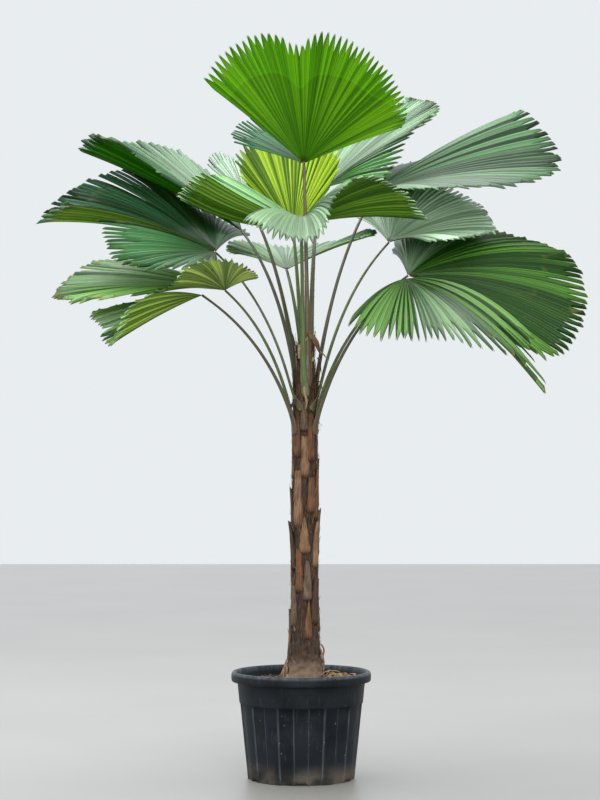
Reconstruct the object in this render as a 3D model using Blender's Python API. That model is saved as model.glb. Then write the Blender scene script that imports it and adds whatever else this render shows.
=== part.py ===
"""A ruffled fan palm in its nursery pot.

Units are metres, +Z is up, and the origin is the middle of the pot's flat underside.
The palm looks towards -Y. Headings are degrees counter-clockwise from +X, seen from above.
"""
import math
from collections import namedtuple

import bmesh
import bpy
import numpy as np
from mathutils import Vector
from mathutils.bvhtree import BVHTree

# Gap kept between pieces that touch
CLEAR = 0.0003

# Pot: a blow-moulded nursery container of about 65 litres
POT_HEIGHT = 0.400
RIM_RADIUS = 0.260
COLLAR_TOP_RADIUS = 0.238
COLLAR_FOOT_RADIUS = 0.230
WALL_TOP_RADIUS = 0.227
POT_FOOT_RADIUS = 0.1985
LIP_HEIGHT = 0.037
COLLAR_HEIGHT = 0.079
POT_WALL = 0.004
POT_FLOOR = 0.006
FLUTES = 12
FLUTE_WIDTH = math.radians(14.0)
FLUTE_DEPTH = 0.005
FLUTE_SIDE = math.radians(1.2)
NOTCHES = 6
NOTCH_WIDTH = 0.040
NOTCH_HEIGHT = 0.012
NOTCH_DEPTH = 0.030

# Soil, filled to a little under the rim
SOIL_TOP = 0.362

# Trunk: it stands a little right of the pot's middle, leans slightly to the right, and thins
# from its flare to the crown
TRUNK_FOOT_X = 0.012
TRUNK_TOP_X = 0.016
TRUNK_TOP = 1.580
TRUNK_SIDES = 20
TRUNK_RINGS = 36
TRUNK_RADII = (
    (SOIL_TOP, 0.074),
    (0.410, 0.068),
    (0.515, 0.062),
    (0.660, 0.054),
    (1.040, 0.053),
    (1.300, 0.046),
    (1.500, 0.036),
    (TRUNK_TOP, 0.022),
)
SCAR_RELIEF = 0.003
SCAR_PITCH = 0.085
SCAR_TOP = 1.250

# Leaf stalks
STALK_FOOT_RADIUS = 0.0095
STALK_TIP_RADIUS = 0.0050
STALK_POINTS = 12
SEATING_STEPS = 12

# Blades
BLADE_SLENDERNESS = 100
LEAFLET_ANGLE = math.radians(9.5)
LEAFLET_CUT = 0.07
BLADE_RINGS = (0.0, 0.30, 0.58, 0.82, 1.0)
NOTCH_SPREAD = 0.06

# A rib heads outwards from the hub and rises by an angle. Its length is a share of the frond's
# length, and its bow says how high it arches over the straight line to its tip.
Rib = namedtuple("Rib", "heading rise share bow")


def rib(heading, rise, share=1.0, bow=None):
    return Rib(heading, rise, share, bow)


# hub: where stalk and blade meet. foot: heading round the trunk and height where the stalk leaves.
# climb, lean: how far up and out the stalk's bend lies between its foot and the hub.
# apex, notch: where in the fan the midrib's notch lies, and how deep it is.
Frond = namedtuple("Frond", "name hub foot climb lean length bow apex notch green ribs")
FRONDS = (
    Frond("top", (0.010, -0.080, 2.280), (-75, 1.545), 0.60, 0.45, 0.45, 0.05, 0.38, 0.13, "bright", (
        rib(182, 39, 1.06), rib(190, 52, 1.11), rib(205, 68, 1.12), rib(265, 78, 1.10),
        rib(330, 66, 1.06), rib(339, 41, 1.02), rib(340, 24, 0.98), rib(332, 14, 0.93))),
    Frond("young", (-0.030, 0.200, 2.058), (110, 1.550), 0.60, 0.40, 0.46, 0.05, 0.50, 0.04, "lime", (
        rib(50, 38, 0.55), rib(55, 45), rib(75, 60), rib(110, 60), rib(136, 48), rib(132, 38, 0.85),
        rib(122, 28, 0.60))),
    Frond("far_right", (0.082, 0.520, 2.256), (62, 1.520), 0.80, 0.10, 0.61, 0.15, 0.50, 0.04, "mid", (
        rib(-52, 0, 0.64), rib(-47, 10, 0.72), rib(-42, 21, 0.80), rib(-18, 31, 0.90),
        rib(15, 42, 0.96), rib(60, 38), rib(105, 25, 0.90))),
    Frond("front", (0.000, -0.200, 2.040), (-100, 1.480), 0.60, 0.30, 0.46, 0.20, 0.30, 0.03, "dark", (
        rib(238, -2, 0.85, 0.5), rib(250, -7, 1.0, 0.5), rib(264, -13, 1.0, 0.5),
        rib(278, -12, 1.0, 0.5), rib(285, 5, 1.0, 0.3), rib(299, 17), rib(325, 12), rib(348, 1),
        rib(375, 8), rib(400, 14, 0.90), rib(430, 10, 0.70))),
    Frond("upper_left", (-0.228, 0.270, 2.065), (146, 1.500), 0.66, 0.30, 0.70, 0.12, 0.50, 0.03, "bright", (
        rib(97, 23, 0.80), rib(107, 28, 0.95), rib(120, 33), rib(137, 35), rib(160, 31), rib(180, 26.5),
        rib(203, 28), rib(215, 27), rib(224, 25, 0.97), rib(230, 21.5, 0.60))),
    Frond("left", (-0.320, 0.000, 1.960), (180, 1.440), 0.66, 0.30, 0.64, 0.22, 0.45, 0.03, "dark", (
        rib(75, 8, 0.80), rib(105, 20, 0.95), rib(137, 33), rib(150, 30, 0.98), rib(165, 23),
        rib(184, 10, 1.04), rib(196, 12), rib(208, 14, 0.96))),
    Frond("low_left", (-0.360, -0.200, 1.785), (215, 1.330), 0.68, 0.30, 0.52, 0.10, 0.50, 0.03, "olive", (
        rib(160, -5, 0.60), rib(185, -10, 0.78), rib(205, -16, 0.82), rib(216, -21, 0.88),
        rib(226, -24, 0.94), rib(236, -15, 0.97), rib(242, -8, 0.97), rib(247, -3, 0.85))),
    Frond("mid_left", (-0.280, -0.100, 1.810), (190, 1.360), 0.68, 0.30, 0.64, 0.12, 0.40, 0.03, "mid", (
        rib(100, 8, 0.60), rib(136, 13), rib(160, 6), rib(182, 0), rib(208, -5, 1.0, 0.18),
        rib(224, -7, 0.95, 0.22), rib(238, -6, 0.82, 0.22), rib(250, 1, 0.66), rib(264, 5, 0.60),
        rib(282, 6, 0.52), rib(305, 4, 0.40))),
    Frond("upper_right", (0.290, 0.200, 2.215), (32, 1.470), 0.66, 0.30, 0.70, 0.15, 0.45, 0.0, "blue", (
        rib(-60, 4, 0.45), rib(-42, 1, 0.80), rib(-22, 0, 0.88), rib(3, 12, 1.02),
        rib(13, 20, 1.03), rib(24, 28, 1.04), rib(45, 24), rib(70, 16), rib(95, 15, 0.85))),
    Frond("mid_right", (0.330, 0.100, 2.005), (5, 1.430), 0.66, 0.30, 0.48, 0.20, 0.50, 0.03, "grey", (
        rib(-70, -5, 0.80), rib(-40, 0, 0.90), rib(0, 8, 0.85), rib(35, 22), rib(65, 36),
        rib(90, 32), rib(110, 20, 0.80))),
    Frond("right", (0.390, -0.150, 1.860), (-20, 1.390), 0.68, 0.30, 0.68, 0.25, 0.45, 0.03, "dark", (
        rib(-36, -30, 0.80), rib(-20, -29, 0.93), rib(-8, -21, 0.97), rib(8, -4), rib(18, 5.5, 1.03),
        rib(28, 11.5), rib(40, 15, 0.97), rib(52, 18.5, 0.97), rib(64, 22, 0.98), rib(77, 24, 0.95),
        rib(90, 23, 0.85), rib(98, 18, 0.55))),
    Frond("low_right", (0.380, -0.200, 1.845), (-45, 1.320), 0.68, 0.30, 0.56, 0.25, 0.45, 0.03, "mid", (
        rib(240, -22, 0.87), rib(252, -27, 0.93), rib(268, -29, 0.92), rib(284, -29, 0.88),
        rib(297, -30, 0.95), rib(305, -29, 1.08), rib(312, -29, 1.14, 0.30), rib(318, -34, 1.35, 0.35),
        rib(325, -28, 1.04, 0.45), rib(332, -24, 1.0, 0.50))),
    Frond("back", (-0.056, 0.280, 1.917), (90, 1.400), 0.66, 0.30, 0.52, 0.12, 0.50, 0.03, "olive", (
        rib(-12, 24, 0.55), rib(8, 22, 0.72), rib(35, 24, 0.85), rib(62, 18), rib(90, 16),
        rib(118, 18, 0.90), rib(143, 18, 0.60), rib(170, 20, 0.40))),
    Frond("far_left", (-0.210, 0.350, 2.190), (125, 1.460), 0.66, 0.30, 0.44, 0.12, 0.50, 0.03, "blue", (
        rib(72, 18, 0.80), rib(90, 28), rib(106, 33), rib(118, 34, 0.90), rib(129, 32, 0.70))),
)

# The top, front and left blades are split: these are their other parts, on the same hubs
SPLIT_PARTS = (
    Frond("top_split", (0.009, -0.079, 2.279), None, 0.0, 0.0, 0.45, 0.05, 0.50, 0.0, "dark", (
        rib(105, 36, 0.80), rib(122, 33, 0.88), rib(136, 28, 0.88), rib(146, 23, 0.80),
        rib(153, 18, 0.68))),
    Frond("front_split", (0.000, -0.200, 2.040), None, 0.0, 0.0, 0.46, 0.12, 0.50, 0.0, "bright", (
        rib(100, 12, 0.70), rib(135, 28, 0.95), rib(158, 24, 1.0, -0.10), rib(175, 13.5, 1.0, -0.35),
        rib(195, 16, 1.0, -0.30), rib(215, 21, 1.0, -0.10))),
    Frond("left_skirt", (-0.320, 0.000, 1.960), None, 0.0, 0.0, 0.64, 0.08, 0.50, 0.0, "dark", (
        rib(221, 2, 0.78), rib(232, -5, 0.90), rib(245, -10, 0.92), rib(258, -12, 0.83),
        rib(275, -14.5, 0.55))),
)

GREENS = {
    "bright": (0.07, 0.25, 0.02),
    "lime": (0.28, 0.42, 0.05),
    "mid": (0.06, 0.19, 0.05),
    "dark": (0.02, 0.09, 0.03),
    "olive": (0.13, 0.19, 0.04),
    "blue": (0.04, 0.15, 0.09),
    "grey": (0.16, 0.24, 0.14),
}


def clear_scene():
    for thing in list(bpy.data.objects):
        bpy.data.objects.remove(thing, do_unlink=True)


def material(name, colour, roughness):
    made = bpy.data.materials.new(name)
    made.use_nodes = True
    shader = made.node_tree.nodes["Principled BSDF"]
    shader.inputs["Base Color"].default_value = (*colour, 1.0)
    shader.inputs["Roughness"].default_value = roughness
    made.diffuse_color = (*colour, 1.0)
    return made


def sheet(name, columns, rows, place):
    """A grid of columns x rows faces whose points are set by place(column, row)."""
    bm = bmesh.new()
    bmesh.ops.create_grid(bm, x_segments=columns, y_segments=rows, size=0.5)
    for vert in bm.verts:
        column = round((vert.co.x + 0.5) * columns)
        row = round((vert.co.y + 0.5) * rows)
        vert.co = place(column, row)
    mesh = bpy.data.meshes.new(name)
    bm.to_mesh(mesh)
    bm.free()
    made = bpy.data.objects.new(name, mesh)
    bpy.context.scene.collection.objects.link(made)
    return made


def turned(name, sides, rings, place):
    """A closed turned body: rings of points set by place(ring, angle), capped flat at both ends."""
    made = sheet(name, sides, rings - 1, lambda c, r: place(r, 2 * math.pi * (c % sides) / sides))
    bm = bmesh.new()
    bm.from_mesh(made.data)
    bmesh.ops.remove_doubles(bm, verts=bm.verts, dist=1e-6)
    bmesh.ops.holes_fill(bm, edges=[edge for edge in bm.edges if edge.is_boundary], sides=0)
    bmesh.ops.recalc_face_normals(bm, faces=bm.faces)
    bm.to_mesh(made.data)
    bm.free()
    made.data.shade_smooth()
    made.data.set_sharp_from_angle(angle=math.radians(35))
    return made


def boolean_cut(target, cutter):
    cutter.hide_render = True
    cutter.display_type = "WIRE"
    cut = target.modifiers.new("cut", "BOOLEAN")
    cut.operation = "DIFFERENCE"
    cut.solver = "EXACT"
    cut.object = cutter


def flute_share(angle):
    """1 in a flute, 0 between flutes, sloping over the flute's side."""
    step = 2 * math.pi / FLUTES
    off = abs((angle + math.pi / 2) % step - step / 2)
    return min(1.0, max(0.0, (FLUTE_WIDTH / 2 + FLUTE_SIDE - off) / FLUTE_SIDE))


def pot_profile():
    """(radius, height, flute share) from the foot up the outside, over the lip and down inside."""
    lip_foot = POT_HEIGHT - LIP_HEIGHT
    collar_foot = lip_foot - COLLAR_HEIGHT
    inside = COLLAR_TOP_RADIUS - POT_WALL
    return (
        (POT_FOOT_RADIUS, 0.0, 1),
        (WALL_TOP_RADIUS, collar_foot - 0.002, 1),
        (COLLAR_FOOT_RADIUS, collar_foot, 0),
        (COLLAR_TOP_RADIUS, lip_foot, 0),
        (RIM_RADIUS - 0.006, lip_foot + 0.001, 0),
        (RIM_RADIUS, lip_foot + 0.009, 0),
        (RIM_RADIUS, POT_HEIGHT - 0.012, 0),
        (RIM_RADIUS - 0.004, POT_HEIGHT - 0.003, 0),
        (RIM_RADIUS - 0.010, POT_HEIGHT, 0),
        (RIM_RADIUS - 0.017, POT_HEIGHT - 0.004, 0),
        (RIM_RADIUS - 0.018, lip_foot + 0.014, 0),
        (inside + 0.001, lip_foot + 0.004, 0),
        (COLLAR_FOOT_RADIUS - POT_WALL, collar_foot, 0),
        (WALL_TOP_RADIUS - POT_WALL, collar_foot - 0.002, 1),
        (POT_FOOT_RADIUS - POT_WALL, POT_FLOOR, 1),
    )


def flute_angles():
    """The angles round the pot that its flutes' edges need."""
    step = 2 * math.pi / FLUTES
    edges = (-step / 2, -FLUTE_WIDTH / 2 - FLUTE_SIDE, -FLUTE_WIDTH / 2, 0.0, FLUTE_WIDTH / 2,
             FLUTE_WIDTH / 2 + FLUTE_SIDE)
    return [(k + 0.5) * step - math.pi / 2 + edge for k in range(FLUTES) for edge in edges]


def make_pot():
    profile = pot_profile()
    angles = flute_angles()

    def place(ring, turn):
        radius, height, share = profile[ring]
        angle = angles[round(turn / (2 * math.pi) * len(angles)) % len(angles)]
        radius -= share * FLUTE_DEPTH * flute_share(angle)
        return Vector((radius * math.cos(angle), radius * math.sin(angle), height))

    pot = turned("pot", len(angles), len(profile), place)
    pot.data.materials.append(material("charcoal_plastic", (0.025, 0.028, 0.035), 0.55))

    bm = bmesh.new()
    for k in range(NOTCHES):
        angle = 2 * math.pi * k / NOTCHES - math.pi / 2
        box = bmesh.ops.create_cube(bm, size=1.0)["verts"]
        bmesh.ops.scale(bm, vec=(2 * NOTCH_DEPTH, NOTCH_WIDTH, 2 * NOTCH_HEIGHT), verts=box)
        bmesh.ops.translate(bm, vec=(POT_FOOT_RADIUS, 0, 0), verts=box)
        turn = np.array(((math.cos(angle), -math.sin(angle)), (math.sin(angle), math.cos(angle))))
        for vert in box:
            x, y = turn @ np.array((vert.co.x, vert.co.y))
            vert.co = (x, y, vert.co.z)
    mesh = bpy.data.meshes.new("notch_cutter")
    bm.to_mesh(mesh)
    bm.free()
    cutter = bpy.data.objects.new("notch_cutter", mesh)
    bpy.context.scene.collection.objects.link(cutter)
    boolean_cut(pot, cutter)


def make_soil():
    """Fills the pot under the collar, clear of its flutes."""
    collar_foot = POT_HEIGHT - LIP_HEIGHT - COLLAR_HEIGHT
    skin = POT_WALL + CLEAR
    profile = (
        (POT_FOOT_RADIUS - skin - FLUTE_DEPTH - 0.001, POT_FLOOR + CLEAR),
        (WALL_TOP_RADIUS - skin - FLUTE_DEPTH - 0.001, collar_foot + 0.0005),
        (COLLAR_FOOT_RADIUS - skin - 0.0002, collar_foot + 0.006),
        (COLLAR_TOP_RADIUS - skin - 0.0004, SOIL_TOP),
    )

    def place(ring, angle):
        radius, height = profile[ring]
        return Vector((radius * math.cos(angle), radius * math.sin(angle), height))

    soil = turned("soil", 72, len(profile), place)
    soil.data.materials.append(material("soil", (0.045, 0.030, 0.018), 0.95))


def trunk_radius(height):
    heights, radii = zip(*TRUNK_RADII)
    return float(np.interp(height, heights, radii))


def trunk_x(height):
    return float(np.interp(height, (SOIL_TOP, TRUNK_TOP), (TRUNK_FOOT_X, TRUNK_TOP_X)))


def make_trunk():
    foot = SOIL_TOP + CLEAR

    def place(ring, angle):
        height = foot + (TRUNK_TOP - foot) * ring / (TRUNK_RINGS - 1)
        wave = math.sin(3 * angle + 2 * math.pi * height / SCAR_PITCH) - 1
        relief = SCAR_RELIEF * min(1.0, max(0.0, (TRUNK_TOP - height) / (TRUNK_TOP - SCAR_TOP)))
        radius = trunk_radius(height) + relief * wave
        return Vector((
            trunk_x(height) + radius * math.cos(angle), radius * math.sin(angle), height))

    trunk = turned("trunk", TRUNK_SIDES, TRUNK_RINGS, place)
    trunk.data.materials.append(material("leaf_base_fibre", (0.13, 0.065, 0.03), 0.9))
    return trunk


def direction(heading, rise):
    flat = math.cos(math.radians(rise))
    return np.array((
        flat * math.cos(math.radians(heading)),
        flat * math.sin(math.radians(heading)),
        math.sin(math.radians(rise)),
    ))


def rib_fan(frond, count):
    """count ribs at even angles through the frond's own ribs: directions, shares and bows."""
    rows = np.array([
        (*direction(r.heading, r.rise), r.share, frond.bow if r.bow is None else r.bow)
        for r in frond.ribs
    ])
    ends = np.vstack((2 * rows[0] - rows[1], rows, 2 * rows[-1] - rows[-2]))
    fine = []
    for a, b, c, d in zip(ends, ends[1:], ends[2:], ends[3:]):
        for t in np.linspace(0, 1, 24, endpoint=False):
            fine.append(0.5 * (2 * b + (c - a) * t + (2 * a - 5 * b + 4 * c - d) * t ** 2
                               + (3 * b - a - 3 * c + d) * t ** 3))
    fine.append(rows[-1])
    fine = np.array(fine)
    fine[:, :3] /= np.linalg.norm(fine[:, :3], axis=1, keepdims=True)
    turn = np.arccos(np.clip(np.sum(fine[1:, :3] * fine[:-1, :3], axis=1), -1, 1))
    passed = np.concatenate(((0.0,), np.cumsum(turn)))
    if count is None:
        count = 2 * max(4, round(passed[-1] / LEAFLET_ANGLE)) + 1
    even = np.linspace(0, passed[-1], count)
    ribs = np.stack([np.interp(even, passed, column) for column in fine.T], axis=1)
    ribs[:, :3] /= np.linalg.norm(ribs[:, :3], axis=1, keepdims=True)
    return ribs


def blade_points(frond):
    """Points of the blade, rib by rib, from its foot ring at the hub to its toothed outline."""
    ribs = rib_fan(frond, None)
    across = np.linspace(0, 1, len(ribs))
    notch = 1 - frond.notch * np.exp(-((across - frond.apex) / NOTCH_SPREAD) ** 2)
    lengths = frond.length * ribs[:, 3] * notch
    lengths[1::2] *= 1 - LEAFLET_CUT
    foot = frond.length / BLADE_SLENDERNESS
    points = np.empty((len(ribs), len(BLADE_RINGS), 3))
    for j, share in enumerate(BLADE_RINGS):
        along = foot + (lengths - foot) * share
        points[:, j] = np.array(frond.hub) + ribs[:, :3] * along[:, None]
        points[:, j, 2] += lengths * ribs[:, 4] * (share - share ** 2)
    return points


def felt_points(piece):
    """A piece's corners and points along its triangles' edges, and a tree of its triangles."""
    mesh = piece.evaluated_get(bpy.context.evaluated_depsgraph_get()).to_mesh()
    mesh.calc_loop_triangles()
    corners = [vert.co.copy() for vert in mesh.vertices]
    triangles = [tuple(triangle.vertices) for triangle in mesh.loop_triangles]
    edges = {tuple(sorted(pair)) for a, b, c in triangles for pair in ((a, b), (b, c), (c, a))}
    along = [
        corners[a].lerp(corners[b], share) for a, b in sorted(edges) for share in (0.25, 0.5, 0.75)
    ]
    return corners + along, BVHTree.FromPolygons(corners, triangles)


def gap_between(first, second):
    points, faces = felt_points(first)
    other_points, other_faces = felt_points(second)
    near = min(other_faces.find_nearest(point)[3] for point in points)
    return min(near, min(faces.find_nearest(point)[3] for point in other_points))


def lay_stalk(spline, foot, bend, end):
    """Sets a stalk's points on the curve from its foot to its end, bent towards bend."""
    for k, point in enumerate(spline.points):
        t = k / (len(spline.points) - 1)
        point.co = (*((1 - t) ** 2 * foot + 2 * t * (1 - t) * bend + t ** 2 * end), 1.0)
        point.radius = STALK_FOOT_RADIUS + (STALK_TIP_RADIUS - STALK_FOOT_RADIUS) * t ** 0.6


def make_stalk(frond, blade, trunk, colour):
    """The stalk is drawn a little short at both ends, then brought up to its trunk and blade."""
    curve = bpy.data.curves.new("stalk_" + frond.name, "CURVE")
    curve.dimensions = "3D"
    curve.bevel_depth = 1.0
    curve.bevel_resolution = 1
    curve.use_fill_caps = True
    curve.materials.append(colour)
    spline = curve.splines.new("POLY")
    spline.points.add(STALK_POINTS - 1)
    stalk = bpy.data.objects.new("stalk_" + frond.name, curve)
    bpy.context.scene.collection.objects.link(stalk)

    heading, height = frond.foot
    outwards = direction(heading, 0)
    hub = np.array(frond.hub)
    start = trunk_radius(height) + 2 * STALK_FOOT_RADIUS
    foot = np.array((trunk_x(height), 0.0, height)) + start * outwards
    bend = foot + (hub - foot) * np.array((frond.lean, frond.lean, frond.climb))
    arrival = (hub - bend) / np.linalg.norm(hub - bend)
    end = hub - arrival * 3 * frond.length / BLADE_SLENDERNESS
    for _ in range(SEATING_STEPS):
        lay_stalk(spline, foot, bend, end)
        foot = foot - outwards * (gap_between(stalk, trunk) - CLEAR)
        end = end + arrival * (gap_between(stalk, blade) - CLEAR)
    lay_stalk(spline, foot, bend, end)


def make_blade(frond, points, colour):
    columns, rows = points.shape[0] - 1, points.shape[1] - 1
    blade = sheet("blade_" + frond.name, columns, rows, lambda c, r: Vector(points[c, r]))
    wall = blade.modifiers.new("thickness", "SOLIDIFY")
    wall.thickness = frond.length / BLADE_SLENDERNESS
    wall.offset = 0.0
    blade.data.materials.append(colour)
    return blade


def make_fronds(trunk):
    stalk_green = material("stalk_green", (0.05, 0.055, 0.03), 0.5)
    greens = {name: material("leaf_" + name, colour, 0.4) for name, colour in GREENS.items()}
    for frond in FRONDS + SPLIT_PARTS:
        blade = make_blade(frond, blade_points(frond), greens[frond.green])
        if frond.foot:
            make_stalk(frond, blade, trunk, stalk_green)


clear_scene()
make_pot()
make_soil()
make_fronds(make_trunk())
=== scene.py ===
import math
from collections import namedtuple

import bmesh
import bpy
import numpy as np
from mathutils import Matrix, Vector, noise


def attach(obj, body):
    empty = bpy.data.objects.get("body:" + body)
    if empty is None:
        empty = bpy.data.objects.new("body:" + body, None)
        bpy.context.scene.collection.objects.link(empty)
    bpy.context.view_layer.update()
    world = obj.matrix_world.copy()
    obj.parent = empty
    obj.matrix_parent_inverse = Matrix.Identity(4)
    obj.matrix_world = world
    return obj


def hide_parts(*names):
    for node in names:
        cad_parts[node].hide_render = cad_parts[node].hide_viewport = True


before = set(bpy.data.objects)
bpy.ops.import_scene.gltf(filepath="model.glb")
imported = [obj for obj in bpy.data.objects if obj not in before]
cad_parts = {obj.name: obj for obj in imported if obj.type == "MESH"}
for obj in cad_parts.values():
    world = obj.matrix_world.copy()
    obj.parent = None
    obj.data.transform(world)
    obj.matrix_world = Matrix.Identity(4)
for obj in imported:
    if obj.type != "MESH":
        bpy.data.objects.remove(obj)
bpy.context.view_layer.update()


# Pot: a 65 litre nursery container, moulded in charcoal polypropylene, with a rolled rim, a plain
# collar, twelve shallow flutes and six drain notches in its foot. It is scuffed and dusty.
POT_HEIGHT = 0.4
RIM_RADIUS = 0.26
LIP_FOOT = 0.363
COLLAR_FOOT = 0.284
COLLAR_TOP_RADIUS = 0.238
COLLAR_FOOT_RADIUS = 0.23
WALL_TOP_RADIUS = 0.227
POT_FOOT_RADIUS = 0.1985
POT_WALL = 0.004
POT_FLOOR = 0.006
POT_COLUMNS = 480
FLUTES = 12
FLUTE_HALF = math.radians(7.0)
FLUTE_SIDE = math.radians(1.6)
FLUTE_DEPTH = 0.005
NOTCHES = 6
NOTCH_HALF = math.radians(5.6)
NOTCH_HEIGHT = 0.012
NOTCH_DEPTH = 0.03
NOTCH_SIDE = math.radians(0.8)
FOOT_ROUNDING = 0.0015
WELD = 0.00002


def lay(bm, points, closed=False):
    """Adds a grid of smooth faces whose points are given as [column, row, xyz]."""
    if closed:
        points = np.concatenate((points, points[:1]))
    columns, rows = points.shape[0] - 1, points.shape[1] - 1
    made = bmesh.ops.create_grid(bm, x_segments=columns, y_segments=rows, size=0.5)["verts"]
    figure = bm.loops.layers.uv.get("UVMap") or bm.loops.layers.uv.new("UVMap")
    place = {}
    for vert in made:
        place[vert] = round((vert.co.x + 0.5) * columns), round((vert.co.y + 0.5) * rows)
        vert.co = points[place[vert]]
    faces = {face for vert in made for face in vert.link_faces}
    for face in faces:
        face.smooth = True
        for loop in face.loops:
            c, r = place[loop.vert]
            loop[figure].uv = (c / columns, r / rows)
    return made, faces


def raise_piece(bm, name, closed=True):
    """Merges the mesh, turns closed shells' faces outwards, and makes it a piece of the scene."""
    bmesh.ops.remove_doubles(bm, verts=bm.verts, dist=WELD)
    if closed:
        bmesh.ops.recalc_face_normals(bm, faces=bm.faces)
    mesh = bpy.data.meshes.new(name)
    bm.to_mesh(mesh)
    bm.free()
    piece = bpy.data.objects.new(name, mesh)
    bpy.context.scene.collection.objects.link(piece)
    return piece


class Finish:
    """Lays out the nodes of a finish, each with its inputs linked or set in one call."""

    def __init__(self, tree):
        self.tree = tree

    def add(self, kind, inputs=None, **settings):
        node = self.tree.nodes.new("ShaderNode" + kind)
        for name, value in settings.items():
            setattr(node, name, value)
        for name, value in (inputs or {}).items():
            if isinstance(value, bpy.types.NodeSocket):
                self.tree.links.new(value, node.inputs[name])
            else:
                node.inputs[name].default_value = value
        return node

    def solid(self):
        return self.add("TexCoord").outputs["Object"]

    def place(self):
        return self.add("UVMap", uv_map="UVMap").outputs["UV"]

    def split(self, vector):
        return self.add("SeparateXYZ", {"Vector": vector}).outputs

    def sum(self, operation, *values):
        return self.add("Math", dict(enumerate(values)), operation=operation).outputs[0]

    def plus(self, first, second):
        return self.sum("ADD", first, second)

    def minus(self, first, second):
        return self.sum("SUBTRACT", first, second)

    def times(self, first, second):
        return self.sum("MULTIPLY", first, second)

    def ease(self, value, low, high, start=0.0, end=1.0):
        limits = {"Value": value, "From Min": low, "From Max": high, "To Min": start, "To Max": end}
        return self.add("MapRange", limits, interpolation_type="SMOOTHSTEP").outputs[0]

    def blend(self, share, first, second, way="MIX"):
        inputs = {0: share, 6: first, 7: second}
        return self.add("Mix", inputs, data_type="RGBA", blend_type=way).outputs[2]

    def grain(self, place, scale, detail=3.0, rough=0.5):
        inputs = {"Vector": place, "Scale": scale, "Detail": detail, "Roughness": rough}
        return self.add("TexNoise", inputs).outputs["Fac"]

    def chance(self, number):
        return self.add("TexWhiteNoise", {"W": number}, noise_dimensions="1D").outputs["Value"]

    def stretched(self, place, x, y, z):
        return self.add("Mapping", {"Vector": place, "Scale": (x, y, z)}).outputs[0]

    def surface(self, colour, rough, relief, strength, depth, shine=0.5):
        """Ends a finish: its colour and roughness, and a relief of the given depth in metres."""
        bump = self.add("Bump", {"Height": relief, "Strength": strength, "Distance": depth})
        skin = self.add("BsdfPrincipled", {
            "Base Color": colour, "Roughness": rough, "Normal": bump.outputs[0],
            "Specular IOR Level": shine})
        self.add("OutputMaterial", {"Surface": skin.outputs[0]})


def new_finish(name):
    material = bpy.data.materials.new(name)
    material.use_nodes = True
    material.node_tree.nodes.clear()
    return material, Finish(material.node_tree)


def pot_profile():
    """(radius, height, how fluted, how notched), from under the pot up outside and down inside."""
    wall = [(1 - k / 9, k / 9) for k in range(10)]
    wall_top = COLLAR_FOOT - 0.002
    rows = [(0.0, 0.0, 0, 0), (POT_FOOT_RADIUS - NOTCH_DEPTH - 0.001, 0.0, 0, 0),
            (POT_FOOT_RADIUS - NOTCH_DEPTH, 0.0, 0, 1), (POT_FOOT_RADIUS - FOOT_ROUNDING, 0.0, 1, 1)]
    for low, high in wall:
        rows.append((POT_FOOT_RADIUS * low + WALL_TOP_RADIUS * high,
                     FOOT_ROUNDING + (wall_top - FOOT_ROUNDING) * high, 1, 1 if high == 0 else 0))
    rows += [
        (COLLAR_FOOT_RADIUS - 0.0008, COLLAR_FOOT - 0.0012, 0, 0),
        (COLLAR_FOOT_RADIUS, COLLAR_FOOT, 0, 0),
        (COLLAR_FOOT_RADIUS + 0.0005, COLLAR_FOOT + 0.004, 0, 0),
        ((COLLAR_FOOT_RADIUS + COLLAR_TOP_RADIUS) / 2, (COLLAR_FOOT + LIP_FOOT) / 2, 0, 0),
        (COLLAR_TOP_RADIUS - 0.0005, LIP_FOOT - 0.005, 0, 0),
        (COLLAR_TOP_RADIUS + 0.001, LIP_FOOT - 0.001, 0, 0),
        (COLLAR_TOP_RADIUS + 0.004, LIP_FOOT, 0, 0),
        (RIM_RADIUS - 0.005, LIP_FOOT + 0.0002, 0, 0),
        (RIM_RADIUS - 0.0022, LIP_FOOT + 0.001, 0, 0),
        (RIM_RADIUS - 0.0008, LIP_FOOT + 0.004, 0, 0),
        (RIM_RADIUS, LIP_FOOT + 0.01, 0, 0),
        (RIM_RADIUS, POT_HEIGHT - 0.013, 0, 0),
        (RIM_RADIUS - 0.0012, POT_HEIGHT - 0.007, 0, 0),
        (RIM_RADIUS - 0.004, POT_HEIGHT - 0.0025, 0, 0),
        (RIM_RADIUS - 0.008, POT_HEIGHT - 0.0003, 0, 0),
        (RIM_RADIUS - 0.0115, POT_HEIGHT - 0.0003, 0, 0),
        (RIM_RADIUS - 0.015, POT_HEIGHT - 0.0025, 0, 0),
        (RIM_RADIUS - 0.0175, POT_HEIGHT - 0.0065, 0, 0),
        (RIM_RADIUS - 0.0185, LIP_FOOT + 0.014, 0, 0),
        (COLLAR_TOP_RADIUS - POT_WALL, LIP_FOOT - 0.002, 0, 0),
        (COLLAR_FOOT_RADIUS - POT_WALL, COLLAR_FOOT, 0, 0),
        (WALL_TOP_RADIUS - POT_WALL - 0.001, COLLAR_FOOT - 0.004, 1, 0),
        (POT_FOOT_RADIUS - POT_WALL, POT_FLOOR, 1, 0),
        (0.0, POT_FLOOR, 0, 0),
    ]
    return np.array(rows)


def share_within(angle, count, first, half, side):
    """1 within half of the nearest of count places round the pot, falling to 0 over side."""
    step = 2 * math.pi / count
    off = np.abs((angle - first + step / 2) % step - step / 2)
    share = np.clip((half + side - off) / side, 0, 1)
    return share * share * (3 - 2 * share)


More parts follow.
